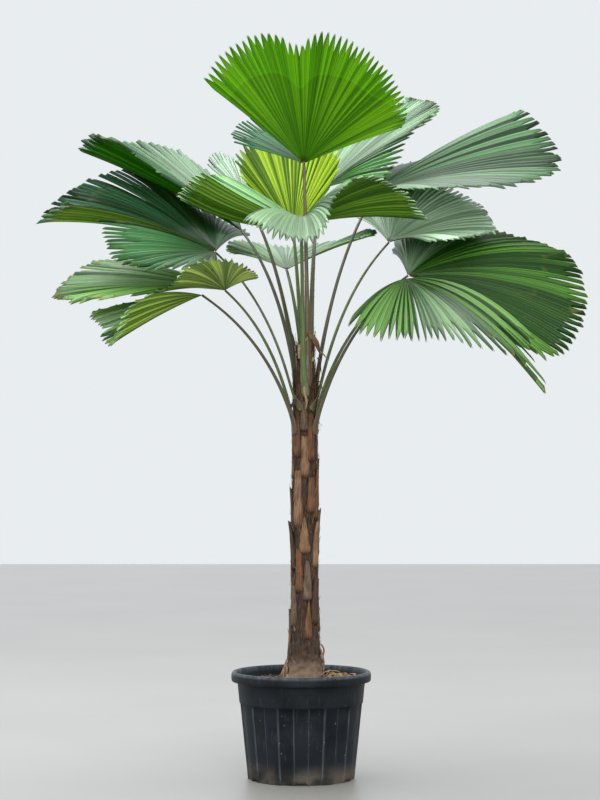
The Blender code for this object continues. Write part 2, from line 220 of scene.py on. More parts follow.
def make_pot():
    profile = pot_profile()
    angle = np.linspace(0, 2 * math.pi, POT_COLUMNS, endpoint=False)[:, None]
    flute = share_within(angle, FLUTES, math.pi / FLUTES - math.pi / 2, FLUTE_HALF, FLUTE_SIDE)
    notch = share_within(angle, NOTCHES, -math.pi / 2, NOTCH_HALF, NOTCH_SIDE)
    radius = profile[:, 0] - profile[:, 2] * FLUTE_DEPTH * flute
    height = profile[:, 1] + profile[:, 3] * NOTCH_HEIGHT * notch
    radius, height = np.broadcast_arrays(radius, height)
    # The whole pot is slightly out of round
    radius = radius * (1 + 0.0012 * np.sin(2 * angle + 0.4) * (profile[:, 0] > 0.1))
    points = np.stack((radius * np.cos(angle), radius * np.sin(angle), height), axis=-1)
    bm = bmesh.new()
    lay(bm, points, closed=True)
    wear_and_rim_highlight = bm.verts.layers.float.new("wear_and_rim_highlight")
    bmesh.ops.remove_doubles(bm, verts=bm.verts, dist=WELD)
    for vert in bm.verts:
        turn = math.atan2(vert.co.y, vert.co.x)
        edge = share_within(turn, FLUTES, math.pi / FLUTES - math.pi / 2, FLUTE_HALF, FLUTE_SIDE)
        vert[wear_and_rim_highlight] = 4 * edge * (1 - edge) * (0.004 < vert.co.z < COLLAR_FOOT)
        # The rim top is set high in this mask, which paints a pale highlight along it.
        if vert.co.z > POT_HEIGHT - 0.009:
            vert[wear_and_rim_highlight] = 0.8
    return raise_piece(bm, "nursery_pot")


def pot_plastic():
    """Charcoal plastic with a blue cast: cloudy, scuffed in short strokes and rubbed on its ridges,
    with a painted highlight along the rim top.
    """
    material, f = new_finish("charcoal_plastic")
    solid = f.solid()
    height = f.split(solid)["Z"]
    clouds = f.grain(solid, 9.0, 4.0)
    fine = f.grain(solid, 220.0, 2.0)
    strokes = f.grain(f.stretched(solid, 60, 60, 9), 1.0, 4.0, 0.7)
    chips = f.grain(solid, 75.0, 3.0, 0.6)
    colour = f.blend(f.ease(clouds, 0.3, 0.7), (0.005, 0.007, 0.009, 1), (0.011, 0.014, 0.017, 1))
    colour = f.blend(f.times(f.ease(strokes, 0.56, 0.74), 0.35), colour, (0.05, 0.06, 0.07, 1))
    # This mask is wear on the flute edges, and on the rim top it is a painted highlight.
    wear_and_rim_highlight = f.add("Attribute", attribute_name="wear_and_rim_highlight").outputs["Fac"]
    rubbed = f.times(wear_and_rim_highlight, f.ease(strokes, 0.35, 0.65, 0.15, 0.5))
    colour = f.blend(rubbed, colour, (0.15, 0.17, 0.2, 1))
    # Dust and splashed soil settle low on the wall, with a few chips scattered above
    low = f.ease(height, 0.085, 0.0)
    dust = f.times(low, f.ease(clouds, 0.35, 0.62, 0.1, 0.62))
    colour = f.blend(dust, colour, (0.16, 0.135, 0.105, 1))
    spots = f.times(f.ease(chips, 0.7, 0.76), f.ease(height, 0.4, 0.02, 0.25, 0.9))
    colour = f.blend(spots, colour, (0.3, 0.27, 0.22, 1))
    rough = f.plus(f.ease(clouds, 0.2, 0.8, 0.4, 0.56), f.times(dust, 0.35))
    relief = f.plus(f.times(fine, 0.4), f.times(strokes, 0.6))
    f.surface(colour, rough, relief, 0.25, 0.0008, shine=0.12)
    return material


pot = make_pot()
pot.data.materials.append(pot_plastic())
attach(pot, "root")
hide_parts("pot")


# Soil: dark peat and bark filling the pot to just under its rim, lumpy on top, with straw-like
# shreds of dead leaf lying right of the trunk.
SOIL_TOP = 0.362
SOIL_FOOT = 0.01
SOIL_RADIUS = 0.2325
SOIL_NECK_RADIUS = 0.2165
SOIL_FOOT_RADIUS = 0.186
SOIL_COLUMNS = 220
SOIL_RINGS = 90
CHIP_COUNT = 420
STRAW_COUNT = 150


def soil_height(x, y):
    """Height of the lumpy surface: heaped a little right of the trunk and hollow on the left."""
    lump = noise.fractal(Vector((x * 30, y * 30, 0.7)), 0.9, 2.1, 5)
    heap = 0.01 * math.exp(-((x - 0.13) ** 2 + (y + 0.03) ** 2) / 0.012)
    hollow = 0.01 * math.exp(-((x + 0.15) ** 2 + y ** 2) / 0.01)
    return SOIL_TOP + 0.0045 * lump + heap - hollow


def make_soil():
    rings = np.linspace(0, SOIL_RADIUS, SOIL_RINGS)
    points = np.zeros((SOIL_COLUMNS, SOIL_RINGS + 4, 3))
    for c, angle in enumerate(np.linspace(0, 2 * math.pi, SOIL_COLUMNS, endpoint=False)):
        for r, radius in enumerate(rings):
            x, y = radius * math.cos(angle), radius * math.sin(angle)
            points[c, r] = (x, y, soil_height(x, y) if radius > 0 else SOIL_TOP)
        for r, radius, height in (
                (-4, SOIL_RADIUS - 0.007, COLLAR_FOOT + 0.006),
                (-3, SOIL_NECK_RADIUS, COLLAR_FOOT), (-2, SOIL_FOOT_RADIUS, SOIL_FOOT)):
            points[c, r] = (radius * math.cos(angle), radius * math.sin(angle), height)
        points[c, -1] = (0, 0, SOIL_FOOT)
    bm = bmesh.new()
    lay(bm, points, closed=True)
    return raise_piece(bm, "potting_soil")


def earth(name, dark, light, scale):
    material, f = new_finish(name)
    solid = f.solid()
    crumbs = f.grain(solid, scale, 5.0, 0.65)
    flecks = f.grain(solid, scale * 3, 2.0)
    colour = f.blend(f.ease(crumbs, 0.35, 0.65), dark, light)
    colour = f.blend(f.ease(flecks, 0.68, 0.74), colour, (0.16, 0.1, 0.055, 1))
    relief = f.plus(crumbs, f.times(flecks, 0.5))
    f.surface(colour, f.ease(crumbs, 0.3, 0.7, 0.8, 0.98), relief, 0.8, 0.003)
    return material


def loft(bm, spine, side, out, width, front, back, sides=10, groove=0.0):
    """Adds a closed limb: rings round the spine's points, width wide, front and back deep."""
    spine, side, out = (np.asarray(v, dtype=float) for v in (spine, side, out))
    rows = len(spine)
    side, out = np.broadcast_to(side, (rows, 3)), np.broadcast_to(out, (rows, 3))
    width, front, back, groove = (np.broadcast_to(v, rows) for v in (width, front, back, groove))
    turn = np.linspace(0, 2 * math.pi, sides, endpoint=False)[:, None]
    deep = np.where(np.sin(turn) > 0, front, back) * np.sin(turn)
    deep = deep - (np.sin(turn) > 0) * groove * np.exp(-(np.cos(turn) / 0.4) ** 2)
    ring = (spine + side * (width * np.cos(turn))[..., None] + out * deep[..., None])
    ends = np.repeat(spine[None], sides, axis=0)
    ring = np.concatenate((ends[:, :1], ring, ends[:, -1:]), axis=1)
    return lay(bm, ring, closed=True)


def make_litter(name, count, seed, spread, length, width, thick, lift):
    """Shreds lying on the soil: bent, narrow and pointed, each on its own heading."""
    chance = np.random.default_rng(seed)
    bm = bmesh.new()
    steps = np.linspace(0, 1, 7)
    made = 0
    while made < count:
        heading, place = chance.uniform(0, 2 * math.pi, 2)
        reach = spread[0] + (spread[1] - spread[0]) * chance.uniform() ** 0.7
        x, y = reach * math.cos(place), reach * math.sin(place)
        if chance.uniform() > spread[2] + (1 - spread[2]) * (x > 0.02):
            continue
        long, wide = chance.uniform(*length), chance.uniform(*width)
        bend = chance.normal(0, 0.9)
        turn = heading + bend * (steps - 0.5)
        spine = np.stack((np.cos(turn), np.sin(turn), 0 * steps), axis=1) * long / 6
        spine = np.cumsum(spine, axis=0) + (x, y, 0)
        tilt = chance.uniform(-0.3, 1.0) * lift
        for k, point in enumerate(spine):
            inside = min(1.0, (SOIL_RADIUS - 0.004) / math.hypot(point[0], point[1]))
            point[:2] *= inside
            point[2] = soil_height(point[0], point[1]) + thick + tilt * math.sin(2.6 * steps[k])
        side = np.stack((-np.sin(turn), np.cos(turn), chance.normal(0, 0.4) + 0 * steps), axis=1)
        side /= np.linalg.norm(side, axis=1, keepdims=True)
        shape = wide * np.sin(math.pi * (0.08 + 0.84 * steps)) ** 0.6
        loft(bm, spine, side, (0, 0, 1), shape, thick, thick, sides=6)
        made += 1
    return raise_piece(bm, name)


soil = make_soil()
soil.data.materials.append(
    earth("peat", (0.01, 0.007, 0.005, 1), (0.05, 0.032, 0.018, 1), 90.0))
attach(soil, "root")
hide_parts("soil")

chips = make_litter("bark_chips", CHIP_COUNT, 11, (0.06, 0.225, 0.75), (0.008, 0.022),
                    (0.002, 0.006), 0.0022, 0.004)
chips.data.materials.append(
    earth("bark_chip", (0.035, 0.018, 0.01, 1), (0.16, 0.075, 0.035, 1), 60.0))
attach(chips, "root")

straw = make_litter("dead_leaf_straw", STRAW_COUNT, 12, (0.07, 0.215, 0.12), (0.025, 0.095),
                    (0.0012, 0.0038), 0.0007, 0.022)
straw.data.materials.append(
    earth("straw", (0.14, 0.08, 0.035, 1), (0.46, 0.3, 0.14, 1), 45.0))
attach(straw, "root")


# Trunk: one upright palm stem, wrapped all round in the brown bases of its old leaves. They stand
# like shields, cut square or torn to a point, with dark fibre between them, darkened further as
# painted shade in the gaps, and a knobbly foot.
TRUNK_TOP = 1.58
CORE_FOOT = 0.352
# Degrees from one leaf round to the next one up
LEAF_TURN = 137.5
TRUNK_FOOT_X = 0.012
TRUNK_TOP_X = 0.016
TRUNK_RADII = ((0.355, 0.075), (0.385, 0.07), (0.41, 0.067), (0.45, 0.064), (0.515, 0.059),
               (0.66, 0.051), (1.04, 0.05), (1.3, 0.044), (1.42, 0.039), (1.5, 0.035),
               (1.58, 0.022))
CORE_SHARE = 0.86
CORE_COLUMNS, CORE_ROWS = 150, 330
KNOBS_BELOW, KNOBS_FADE = 0.6, 0.16
RING_PITCH = 0.034
BARE_ABOVE, BARE_FADE = 1.36, 0.08
SHIELDS_FROM = 0.505
SHIELDS_TO = 1.375
SHIELD_COUNT = 40
Shield = namedtuple("Shield", "heading foot length wide top lift shade")
# The bases that show in front: heading round the trunk, height of the foot, length, half width,
# the top's share of it, how far the top stands off, and which of the shades it has
SHOWN_SHIELDS = (
    Shield(-92, 1.118, 0.155, 0.021, 0.72, 0.004, 0),
    Shield(-74, 0.516, 0.148, 0.02, 0.1, 0.004, 1),
    Shield(-92, 0.835, 0.14, 0.027, 0.1, 0.006, 0),
    Shield(-128, 0.93, 0.215, 0.026, 0.62, 0.003, 0),
    Shield(-58, 0.985, 0.135, 0.022, 0.8, 0.004, 1),
    Shield(-118, 0.69, 0.165, 0.021, 0.55, 0.004, 1),
    Shield(-32, 0.78, 0.175, 0.022, 0.35, 0.012, 0),
    Shield(-165, 0.77, 0.185, 0.022, 0.12, 0.016, 2),
    Shield(-60, 1.175, 0.18, 0.021, 0.55, 0.006, 1),
    Shield(-22, 0.96, 0.19, 0.021, 0.3, 0.008, 1),
    Shield(-78, 0.66, 0.15, 0.022, 0.45, 0.004, 3),
    Shield(-140, 1.19, 0.175, 0.021, 0.45, 0.004, 1),
    Shield(-40, 0.57, 0.17, 0.022, 0.4, 0.008, 2),
    Shield(-150, 0.56, 0.16, 0.024, 0.45, 0.006, 3),
    Shield(-98, 1.29, 0.11, 0.019, 0.5, 0.004, 3),
)
SHIELD_SHADES = (
    ("tan", (0.06, 0.032, 0.018, 1), (0.3, 0.175, 0.095, 1)),
    ("chestnut", (0.04, 0.018, 0.01, 1), (0.21, 0.09, 0.04, 1)),
    ("umber", (0.022, 0.013, 0.008, 1), (0.1, 0.056, 0.032, 1)),
    ("weathered", (0.04, 0.028, 0.02, 1), (0.19, 0.13, 0.088, 1)),
)
STRAND_COUNT = 420
SHARD_COUNT = 46


def trunk_radius(height):
    heights, radii = zip(*TRUNK_RADII)
    return np.interp(height, heights, radii)


def trunk_x(height):
    return np.interp(height, (SOIL_TOP, TRUNK_TOP), (TRUNK_FOOT_X, TRUNK_TOP_X))


def on_trunk(heading, height, radius):
    """The point at that heading, in radians, and height, radius out from the trunk's middle."""
    return np.stack(np.broadcast_arrays(
        trunk_x(height) + radius * np.cos(heading), radius * np.sin(heading), height), axis=-1)


def round_trunk(turn, lean=0.0):
    """Sideways and outward directions at the given headings round the trunk."""
    side = np.stack((-np.sin(turn), np.cos(turn), lean + 0 * turn), axis=1)
    return side, np.stack((np.cos(turn), np.sin(turn), 0 * turn), axis=1)


def add_strip(bm, turn, height, radius, width, front, back, sides, lean=0.0):
    """Adds a closed strip that follows the trunk, through the given headings and heights."""
    side, out = round_trunk(turn, lean)
    return loft(bm, on_trunk(turn, height, radius), side, out, width, front, back, sides=sides)


def make_core():
    """The stem itself: fibrous, ringed near the ground, knobbly and flared at its foot."""
    heights = np.linspace(CORE_FOOT, TRUNK_TOP, CORE_ROWS)
    points = np.zeros((CORE_COLUMNS, CORE_ROWS + 2, 3))
    for c, turn in enumerate(np.linspace(0, 2 * math.pi, CORE_COLUMNS, endpoint=False)):
        for r, height in enumerate(heights):
            x, y = 0.05 * math.cos(turn), 0.05 * math.sin(turn)
            low = min(1.0, max(0.0, (KNOBS_BELOW - height) / KNOBS_FADE))
            fibre = noise.fractal(Vector((x * 95, y * 95, height * 17)), 0.8, 2.0, 4)
            knob = noise.fractal(Vector((x * 38, y * 38, height * 36)), 0.8, 2.0, 4)
            wander = 0.7 * noise.noise(Vector((x * 30, y * 30, height * 9)))
            ring = math.sin(2 * math.pi * (height / RING_PITCH + wander))
            relief = 0.003 * fibre * (1 - 0.5 * low) + low * (0.005 * knob + 0.0016 * ring)
            bare = min(1.0, (height - BARE_ABOVE) / BARE_FADE)
            share = CORE_SHARE + (1.0 - CORE_SHARE) * max(low, bare)
            radius = share * trunk_radius(height) + relief
            points[c, r + 1] = on_trunk(turn, height, radius)
        points[c, 0] = on_trunk(0, heights[0], 0)
        points[c, -1] = on_trunk(0, heights[-1] + 0.004, 0)
    bm = bmesh.new()
    lay(bm, points, closed=True)
    return raise_piece(bm, "trunk_core")


def add_shield(bm, shield, chance):
    """One old leaf base, closed all round: a rounded foot that stands proud, narrowing upwards."""
    t = np.concatenate((np.linspace(0, 0.1, 6), np.linspace(0.14, 1.0, 24)))
    rounding = np.sqrt(np.clip(1 - (1 - np.minimum(t / 0.1, 1)) ** 2, 0, 1))
    taper = 1 + (shield.top - 1) * np.clip((t - 0.25) / 0.75, 0, 1) ** 1.15
    half = shield.wide * rounding * taper * (1 + 0.05 * np.sin(17 * t + chance.uniform(0, 6)))
    height = shield.foot + shield.length * t
    start = math.radians(shield.heading) + chance.uniform(-0.1, 0.1) * (t - 0.5)
    radius = CORE_SHARE * trunk_radius(height) + shield.lift * t ** 2.2
    deep = (0.0105 - 0.005 * t) * np.minimum(1, 0.35 + 0.65 * rounding)
    across = np.linspace(-1, 1, 13)[:, None]
    ridges = 0.0007 * np.sin(across * chance.uniform(9, 14) + chance.uniform(0, 6))
    crown = deep * (1 - np.abs(across) ** 3.0) + ridges * (1 - across ** 2)
    # Sawn or torn across at the top
    tear = chance.normal(0, 0.004, 13)[:, None] * (t > 0.97)
    heading = start + across * half / trunk_radius(height)
    face = on_trunk(heading, height + tear, radius + crown)
    behind = on_trunk(heading[::-1], height, radius - 0.0035)
    ring = np.concatenate((face, behind))
    middle = on_trunk(start, height, radius)
    ends = np.repeat(middle[None], len(ring), axis=0)
    ring = np.concatenate((ends[:, :1], ring, ends[:, -1:]), axis=1)
    return lay(bm, ring, closed=True)


def make_shields():
    chance = np.random.default_rng(21)
    found = list(SHOWN_SHIELDS)
    for k in range(SHIELD_COUNT):
        heading = (k * LEAF_TURN + 40) % 360
        foot = SHIELDS_FROM + (SHIELDS_TO - SHIELDS_FROM) * (k + 0.5) / SHIELD_COUNT
        if 195 < heading < 345:
            heading = (heading + 180) % 360
        shade = int(chance.choice(4, p=(0.22, 0.34, 0.24, 0.2)))
        found.append(Shield(heading, foot - 0.08, chance.uniform(0.14, 0.21),
                            chance.uniform(0.019, 0.026), chance.uniform(0.1, 0.75),
                            chance.uniform(0.002, 0.012), shade))
    bm = bmesh.new()
    for shield in found:
        for face in add_shield(bm, shield, chance)[1]:
            face.material_index = shield.shade
    return raise_piece(bm, "old_leaf_bases")


def make_strands():
    """Loose fibre: hair-thin strands that cross the trunk and hang off it."""
    chance = np.random.default_rng(22)
    bm = bmesh.new()
    steps = np.linspace(0, 1, 9)
    for _ in range(STRAND_COUNT):
        low = chance.uniform(0.42, 1.5)
        heading = chance.uniform(0, 2 * math.pi)
        long = chance.uniform(0.03, 0.13)
        height = low + long * steps * chance.choice((1, -1), p=(0.6, 0.4))
        turn = heading + chance.normal(0, 0.5) * steps + chance.normal(0, 0.12) * np.sin(6 * steps)
        proud = CORE_SHARE * trunk_radius(height) + chance.uniform(0.003, 0.009)
        proud = proud + chance.uniform(0, 0.01) * steps ** 3
        thick = chance.uniform(0.0004, 0.0011) * (1 - 0.5 * steps)
        add_strip(bm, turn, height, proud, thick, thick, thick, 4)
    return raise_piece(bm, "trunk_fibre")


def make_shards():
    """Torn slivers of leaf base that stand off the trunk, and loose plates of bark at its foot."""
    chance = np.random.default_rng(23)
    bm = bmesh.new()
    steps = np.linspace(0, 1, 8)
    for k in range(SHARD_COUNT):
        low = 0.4 + 1.06 * (k + 0.5) / SHARD_COUNT
        heading = chance.uniform(0, 2 * math.pi)
        long, wide = chance.uniform(0.025, 0.06), chance.uniform(0.003, 0.008)
        height = low + long * steps
        turn = heading + chance.normal(0, 0.2) * steps
        proud = trunk_radius(height) - 0.003 + chance.uniform(0.004, 0.013) * steps ** 1.5
        shape = wide * (1 - steps) ** 0.7
        add_strip(bm, turn, height, proud, shape, 0.0012, 0.0008, 6, 0.3)
    for heading, low, long, wide, stand in (
            (-172, 0.362, 0.075, 0.01, 0.01), (178, 0.368, 0.05, 0.008, 0.014),
            (-160, 0.385, 0.06, 0.009, 0.006), (-12, 0.4, 0.08, 0.009, 0.007),
            (-5, 0.455, 0.045, 0.008, 0.01), (-150, 0.362, 0.03, 0.012, 0.004)):
        height = low + long * steps
        turn = math.radians(heading) + 0.1 * np.sin(5 * steps)
        proud = trunk_radius(height) + stand * np.sin(math.pi * (0.15 + 0.75 * steps))
        shape = wide * np.sin(math.pi * (0.12 + 0.8 * steps)) ** 0.5
        add_strip(bm, turn, height, proud, shape, 0.0035, 0.0025, 8, 0.2)
    return raise_piece(bm, "bark_shards")


def new_group(name, inputs, outputs):
    """An empty node group with these sockets, what lays out its nodes, and its inputs' values."""
    group = bpy.data.node_groups.new(name, "ShaderNodeTree")
    for way, sockets in (("INPUT", inputs), ("OUTPUT", outputs)):
        for title, kind in sockets.items():
            group.interface.new_socket(title, in_out=way, socket_type="NodeSocket" + kind)
    return group, Finish(group), group.nodes.new("NodeGroupInput").outputs


def end_group(group, **outputs):
    given = group.nodes.new("NodeGroupOutput").inputs
    for name, value in outputs.items():
        group.links.new(value, given[name])
    return group


def fibre_grain():
    """Colour, roughness and relief of dry fibre: long streaks with dark gaps and pale threads."""
    group, f, given = new_group(
        "fibre_grain", {"Dark": "Color", "Light": "Color", "Streak": "Vector"},
        {"Colour": "Color", "Roughness": "Float", "Relief": "Float"})
    solid = f.solid()
    streaks = f.grain(given["Streak"], 1.0, 5.0, 0.6)
    threads = f.grain(given["Streak"], 3.3, 2.0)
    clouds = f.grain(solid, 22.0, 4.0, 0.6)
    tone = f.plus(f.ease(streaks, 0.32, 0.68, 0.0, 0.6), f.ease(clouds, 0.3, 0.7, 0.0, 0.4))
    colour = f.blend(tone, given["Dark"], given["Light"])
    gaps = f.ease(f.plus(streaks, f.times(clouds, 0.5)), 0.62, 0.5)
    colour = f.blend(f.times(gaps, 0.7), colour, (0.02, 0.01, 0.007, 1))
    pale = f.times(f.ease(threads, 0.62, 0.72), f.ease(clouds, 0.45, 0.62))
    colour = f.blend(f.times(pale, 0.35), colour, (0.42, 0.3, 0.19, 1))
    relief = f.plus(streaks, f.times(threads, 0.4))
    return end_group(
        group, Colour=colour, Roughness=f.ease(clouds, 0.3, 0.7, 0.62, 0.92), Relief=relief)


FIBRE_GRAIN = fibre_grain()


def dry_fibre(name, dark, light, stretch, depth):
    """Streaked fibre, rubbed paler and greyer at the trunk's foot. A leaf base, which has its own
    place across and along in its UVs, gets painted shade round its edges and under its foot."""
    material, f = new_finish(name)
    solid = f.solid()
    grain = f.add("Group", {
        "Dark": dark, "Light": light, "Streak": f.stretched(solid, *stretch)}, node_tree=FIBRE_GRAIN)
    colour = grain.outputs["Colour"]
    height = f.split(solid)["Z"]
    rubbed = f.ease(f.plus(height, f.times(f.grain(solid, 30.0), 0.06)), 0.5, 0.42)
    colour = f.blend(f.times(rubbed, 0.6), colour, (0.27, 0.19, 0.13, 1))
    # Painted shade: a leaf base is darkened round its edges and under its rounded foot.
    if name.endswith("leaf_base"):
        place = f.split(f.place())
        off_middle = f.sum("ABSOLUTE", f.minus(place["X"], 0.24))
        edge = f.sum("MAXIMUM", f.ease(off_middle, 0.15, 0.24), f.ease(place["Y"], 0.3, 0.08))
        colour = f.blend(f.times(edge, 0.85), colour, (0.16, 0.12, 0.11, 1), "MULTIPLY")
    f.surface(colour, grain.outputs["Roughness"], grain.outputs["Relief"], 0.9, depth, shine=0.25)
    return material


core = make_core()
# The stem's colours are set darker than its own tone, as painted shade in the gaps between the leaf
# bases.
core.data.materials.append(dry_fibre(
    "stem_fibre", (0.011, 0.007, 0.005, 1), (0.07, 0.04, 0.024, 1), (170, 170, 24), 0.003))
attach(core, "root")
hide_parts("trunk")

shields = make_shields()
for shade, dark, light in SHIELD_SHADES:
    shields.data.materials.append(
        dry_fibre(shade + "_leaf_base", dark, light, (260, 260, 16), 0.0016))
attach(shields, "root")

strands = make_strands()
strands.data.materials.append(dry_fibre(
    "fibre_strand", (0.045, 0.022, 0.012, 1), (0.22, 0.125, 0.07, 1), (40, 40, 40), 0.0004))
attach(strands, "root")

shards = make_shards()
shards.data.materials.append(dry_fibre(
    "torn_bark", (0.07, 0.036, 0.02, 1), (0.32, 0.185, 0.105, 1), (200, 200, 22), 0.001))
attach(shards, "root")


# Stalks: long green leaf stalks, flat and clasping where they leave the trunk, grooved above, with
# short spines along their lower edges. Each bends outwards and ends at the hub of its leaf.
Stalk = namedtuple("Stalk", "name heading height climb lean hub sheath drop skin")
# heading, height: where it leaves the trunk. climb, lean: how far up and out it has gone at its
# bend. sheath, drop: the heading its clasping foot wraps round to, and how far down it runs.
STALKS = (
    Stalk("top", -75, 1.545, 0.6, 0.45, (0.01, -0.08, 2.28), -78, 0.09, "tawny"),
    Stalk("young", 110, 1.55, 0.6, 0.4, (-0.03, 0.2, 2.058), 110, 0.08, "green"),
    Stalk("far_right", 62, 1.52, 0.8, 0.1, (0.082, 0.52, 2.256), 62, 0.1, "dusky"),
    Stalk("front", -100, 1.48, 0.6, 0.3, (0.0, -0.2, 2.04), -86, 0.06, "green"),
    Stalk("upper_left", 146, 1.5, 0.66, 0.3, (-0.228, 0.27, 2.065), 154, 0.1, "dusky"),
    Stalk("left", 180, 1.44, 0.66, 0.3, (-0.32, 0.0, 1.96), 252, 0.07, "green"),
    Stalk("low_left", 215, 1.33, 0.68, 0.3, (-0.36, -0.2, 1.785), 212, 0.05, "dusky"),
    Stalk("mid_left", 190, 1.36, 0.68, 0.3, (-0.28, -0.1, 1.81), 205, 0.05, "green"),
    Stalk("upper_right", 32, 1.47, 0.66, 0.3, (0.29, 0.2, 2.215), 28, 0.1, "dusky"),
    Stalk("mid_right", 5, 1.43, 0.66, 0.3, (0.33, 0.1, 2.005), -62, 0.06, "green"),
    Stalk("right", -20, 1.39, 0.68, 0.3, (0.39, -0.15, 1.86), -20, 0.07, "green"),
    Stalk("low_right", -45, 1.32, 0.68, 0.3, (0.38, -0.2, 1.845), -38, 0.04, "dusky"),
    Stalk("back", 90, 1.4, 0.66, 0.3, (-0.056, 0.28, 1.917), 90, 0.1, "green"),
    Stalk("far_left", 125, 1.46, 0.66, 0.3, (-0.21, 0.35, 2.19), 128, 0.1, "dusky"),
)
STALK_SKINS = {
    "green": ((0.042, 0.072, 0.016, 1), (0.125, 0.18, 0.05, 1)),
    "dusky": ((0.035, 0.036, 0.016, 1), (0.1, 0.098, 0.045, 1)),
    "tawny": ((0.05, 0.036, 0.016, 1), (0.15, 0.105, 0.05, 1)),
}
# Places along a stalk, and at each: half its width, its depth above and below the middle, and
# how deep the groove in its upper side is
STALK_WIDTH = ((0, 0.06, 0.14, 0.22, 0.5, 1), (0.012, 0.018, 0.015, 0.0112, 0.0076, 0.0056))
STALK_ABOVE = ((0, 0.15, 0.3, 1), (0.0022, 0.0036, 0.0048, 0.0038))
STALK_BELOW = ((0, 0.15, 0.3, 1), (0.005, 0.0075, 0.007, 0.0044))
STALK_GROOVE = ((0, 0.2, 0.8, 1), (0.0008, 0.0028, 0.0014, 0.0))
STALK_STAND = 0.0095
SPINES_PER_SIDE = 18


def unit(vectors):
    return vectors / np.linalg.norm(vectors, axis=-1, keepdims=True)


def stalk_spine(stalk):
    """Points from the clasping foot, up the trunk and out along the bend to the hub."""
    heading = math.radians(stalk.heading)
    foot = on_trunk(heading, stalk.height, trunk_radius(stalk.height) + STALK_STAND)
    hub = np.array(stalk.hub)
    bend = foot + (hub - foot) * (stalk.lean, stalk.lean, stalk.climb)
    t = np.linspace(0, 1, 42)[:, None]
    reach = (1 - t) ** 2 * foot + 2 * t * (1 - t) * bend + t ** 2 * hub
    down = np.linspace(1, 0, 8, endpoint=False)
    start = math.radians(stalk.sheath)
    turn = heading + ((start - heading + math.pi) % (2 * math.pi) - math.pi) * down
    height = stalk.height - stalk.drop * down
    low = on_trunk(turn, height, trunk_radius(height) + STALK_STAND * (0.55 - 0.15 * down))
    spine = np.concatenate((low, reach))
    for _ in range(14):
        spine[1:-1] += 0.5 * ((spine[:-2] + spine[2:]) / 2 - spine[1:-1])
    return spine


def make_stalk(stalk, seed):
    chance = np.random.default_rng(seed)
    spine = stalk_spine(stalk)
    ahead = unit(np.gradient(spine, axis=0))
    way = math.radians(stalk.heading)
    plan = np.array(stalk.hub[:2]) - spine[8, :2]
    far = math.atan2(plan[1], plan[0]) if np.hypot(*plan) > 0.1 else way
    share = np.linspace(0, 1, len(spine))
    turn = way + ((far - way + math.pi) % (2 * math.pi) - math.pi) * np.minimum(1, 2 * share)
    side = round_trunk(turn)[0]
    clasp = np.clip(1 - share / 0.2, 0, 1)[:, None]
    away = unit(np.stack((spine[:, 0] - trunk_x(spine[:, 2]), spine[:, 1], 0 * share), axis=1))
    hugging = np.stack((-away[:, 1], away[:, 0], 0 * share), axis=1)
    side = unit(side * (1 - clasp) + hugging * clasp)
    side = unit(side - ahead * np.sum(side * ahead, axis=1, keepdims=True))
    inward = unit(np.cross(ahead, side))
    width, above, below, groove = (
        np.interp(share, *sizes)
        for sizes in (STALK_WIDTH, STALK_ABOVE, STALK_BELOW, STALK_GROOVE))
    bm = bmesh.new()
    loft(bm, spine, side, inward, width, above, below, sides=16, groove=groove)
    for edge in (-1, 1):
        for place in chance.uniform(0.12, 0.52, SPINES_PER_SIDE):
            k = int(place * (len(spine) - 1))
            root = spine[k] + side[k] * edge * width[k] * 0.92
            long = chance.uniform(0.002, 0.0045) * (1 - 0.6 * place)
            tip = side[k] * edge * long - ahead[k] * long * 0.5
            thorn = root + np.array((0, 0.5, 1))[:, None] * tip
            loft(bm, thorn, ahead[k], inward[k], (0.0016, 0.0009, 0.0001),
                 (0.001, 0.0006, 0.0001), (0.001, 0.0006, 0.0001), sides=4)
    return raise_piece(bm, "leaf_stalk_" + stalk.name)


def stalk_skin(name, dark, light):
    """Olive skin, smooth and slightly shiny, browner along both edges and near either end."""
    material, f = new_finish(name + "_stalk")
    place = f.place()
    parts = f.split(place)
    solid = f.solid()
    streaks = f.grain(f.stretched(place, 26, 9, 1), 1.0, 4.0, 0.6)
    clouds = f.grain(solid, 30.0, 3.0)
    colour = f.blend(f.ease(streaks, 0.35, 0.65), dark, light)
    edge = f.sum("FRACT", f.plus(f.times(parts["X"], 2.0), 0.5))
    edge = f.sum("ABSOLUTE", f.minus(edge, 0.5))
    brown = f.times(f.ease(edge, 0.15, 0.02), f.ease(clouds, 0.3, 0.6, 0.3, 0.95))
    colour = f.blend(brown, colour, (0.05, 0.024, 0.013, 1))
    old = f.times(f.ease(parts["Y"], 0.3, 0.08), f.ease(clouds, 0.42, 0.58))
    colour = f.blend(f.times(old, 0.75), colour, (0.085, 0.042, 0.022, 1))
    neck = f.ease(parts["Y"], 0.9, 0.99, 0.0, 0.8)
    colour = f.blend(neck, colour, (0.035, 0.022, 0.018, 1))
    spots = f.ease(f.grain(solid, 160.0, 2.0), 0.66, 0.72, 0.0, 0.5)
    colour = f.blend(spots, colour, (0.03, 0.018, 0.01, 1))
    f.surface(colour, f.ease(clouds, 0.3, 0.7, 0.34, 0.55), streaks, 0.5, 0.0008)
    return material


stalk_finishes = {name: stalk_skin(name, *tones) for name, tones in STALK_SKINS.items()}
for number, stalk in enumerate(STALKS):
    limb = make_stalk(stalk, 300 + number)
    limb.data.materials.append(stalk_finishes[stalk.skin])
    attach(limb, "root")
    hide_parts("stalk_" + stalk.name)


# Leaf blades: round fans of living leaf, each on one hub at the end of its stalk. A fan is pleated
# into narrow leaflets that part into blunt teeth at the rim, is glossy above and dull below, and
# is thin enough for daylight to shine through.
Rib = namedtuple("Rib", "heading rise share bow", defaults=(1.0, None))
Frond = namedtuple(
    "Frond",
    "name slot hub length bow apex notch ribs splits upper under glow band dry shine bloom combs",
    defaults=(0.5, (0.5, 0.0, 0.0), ()))
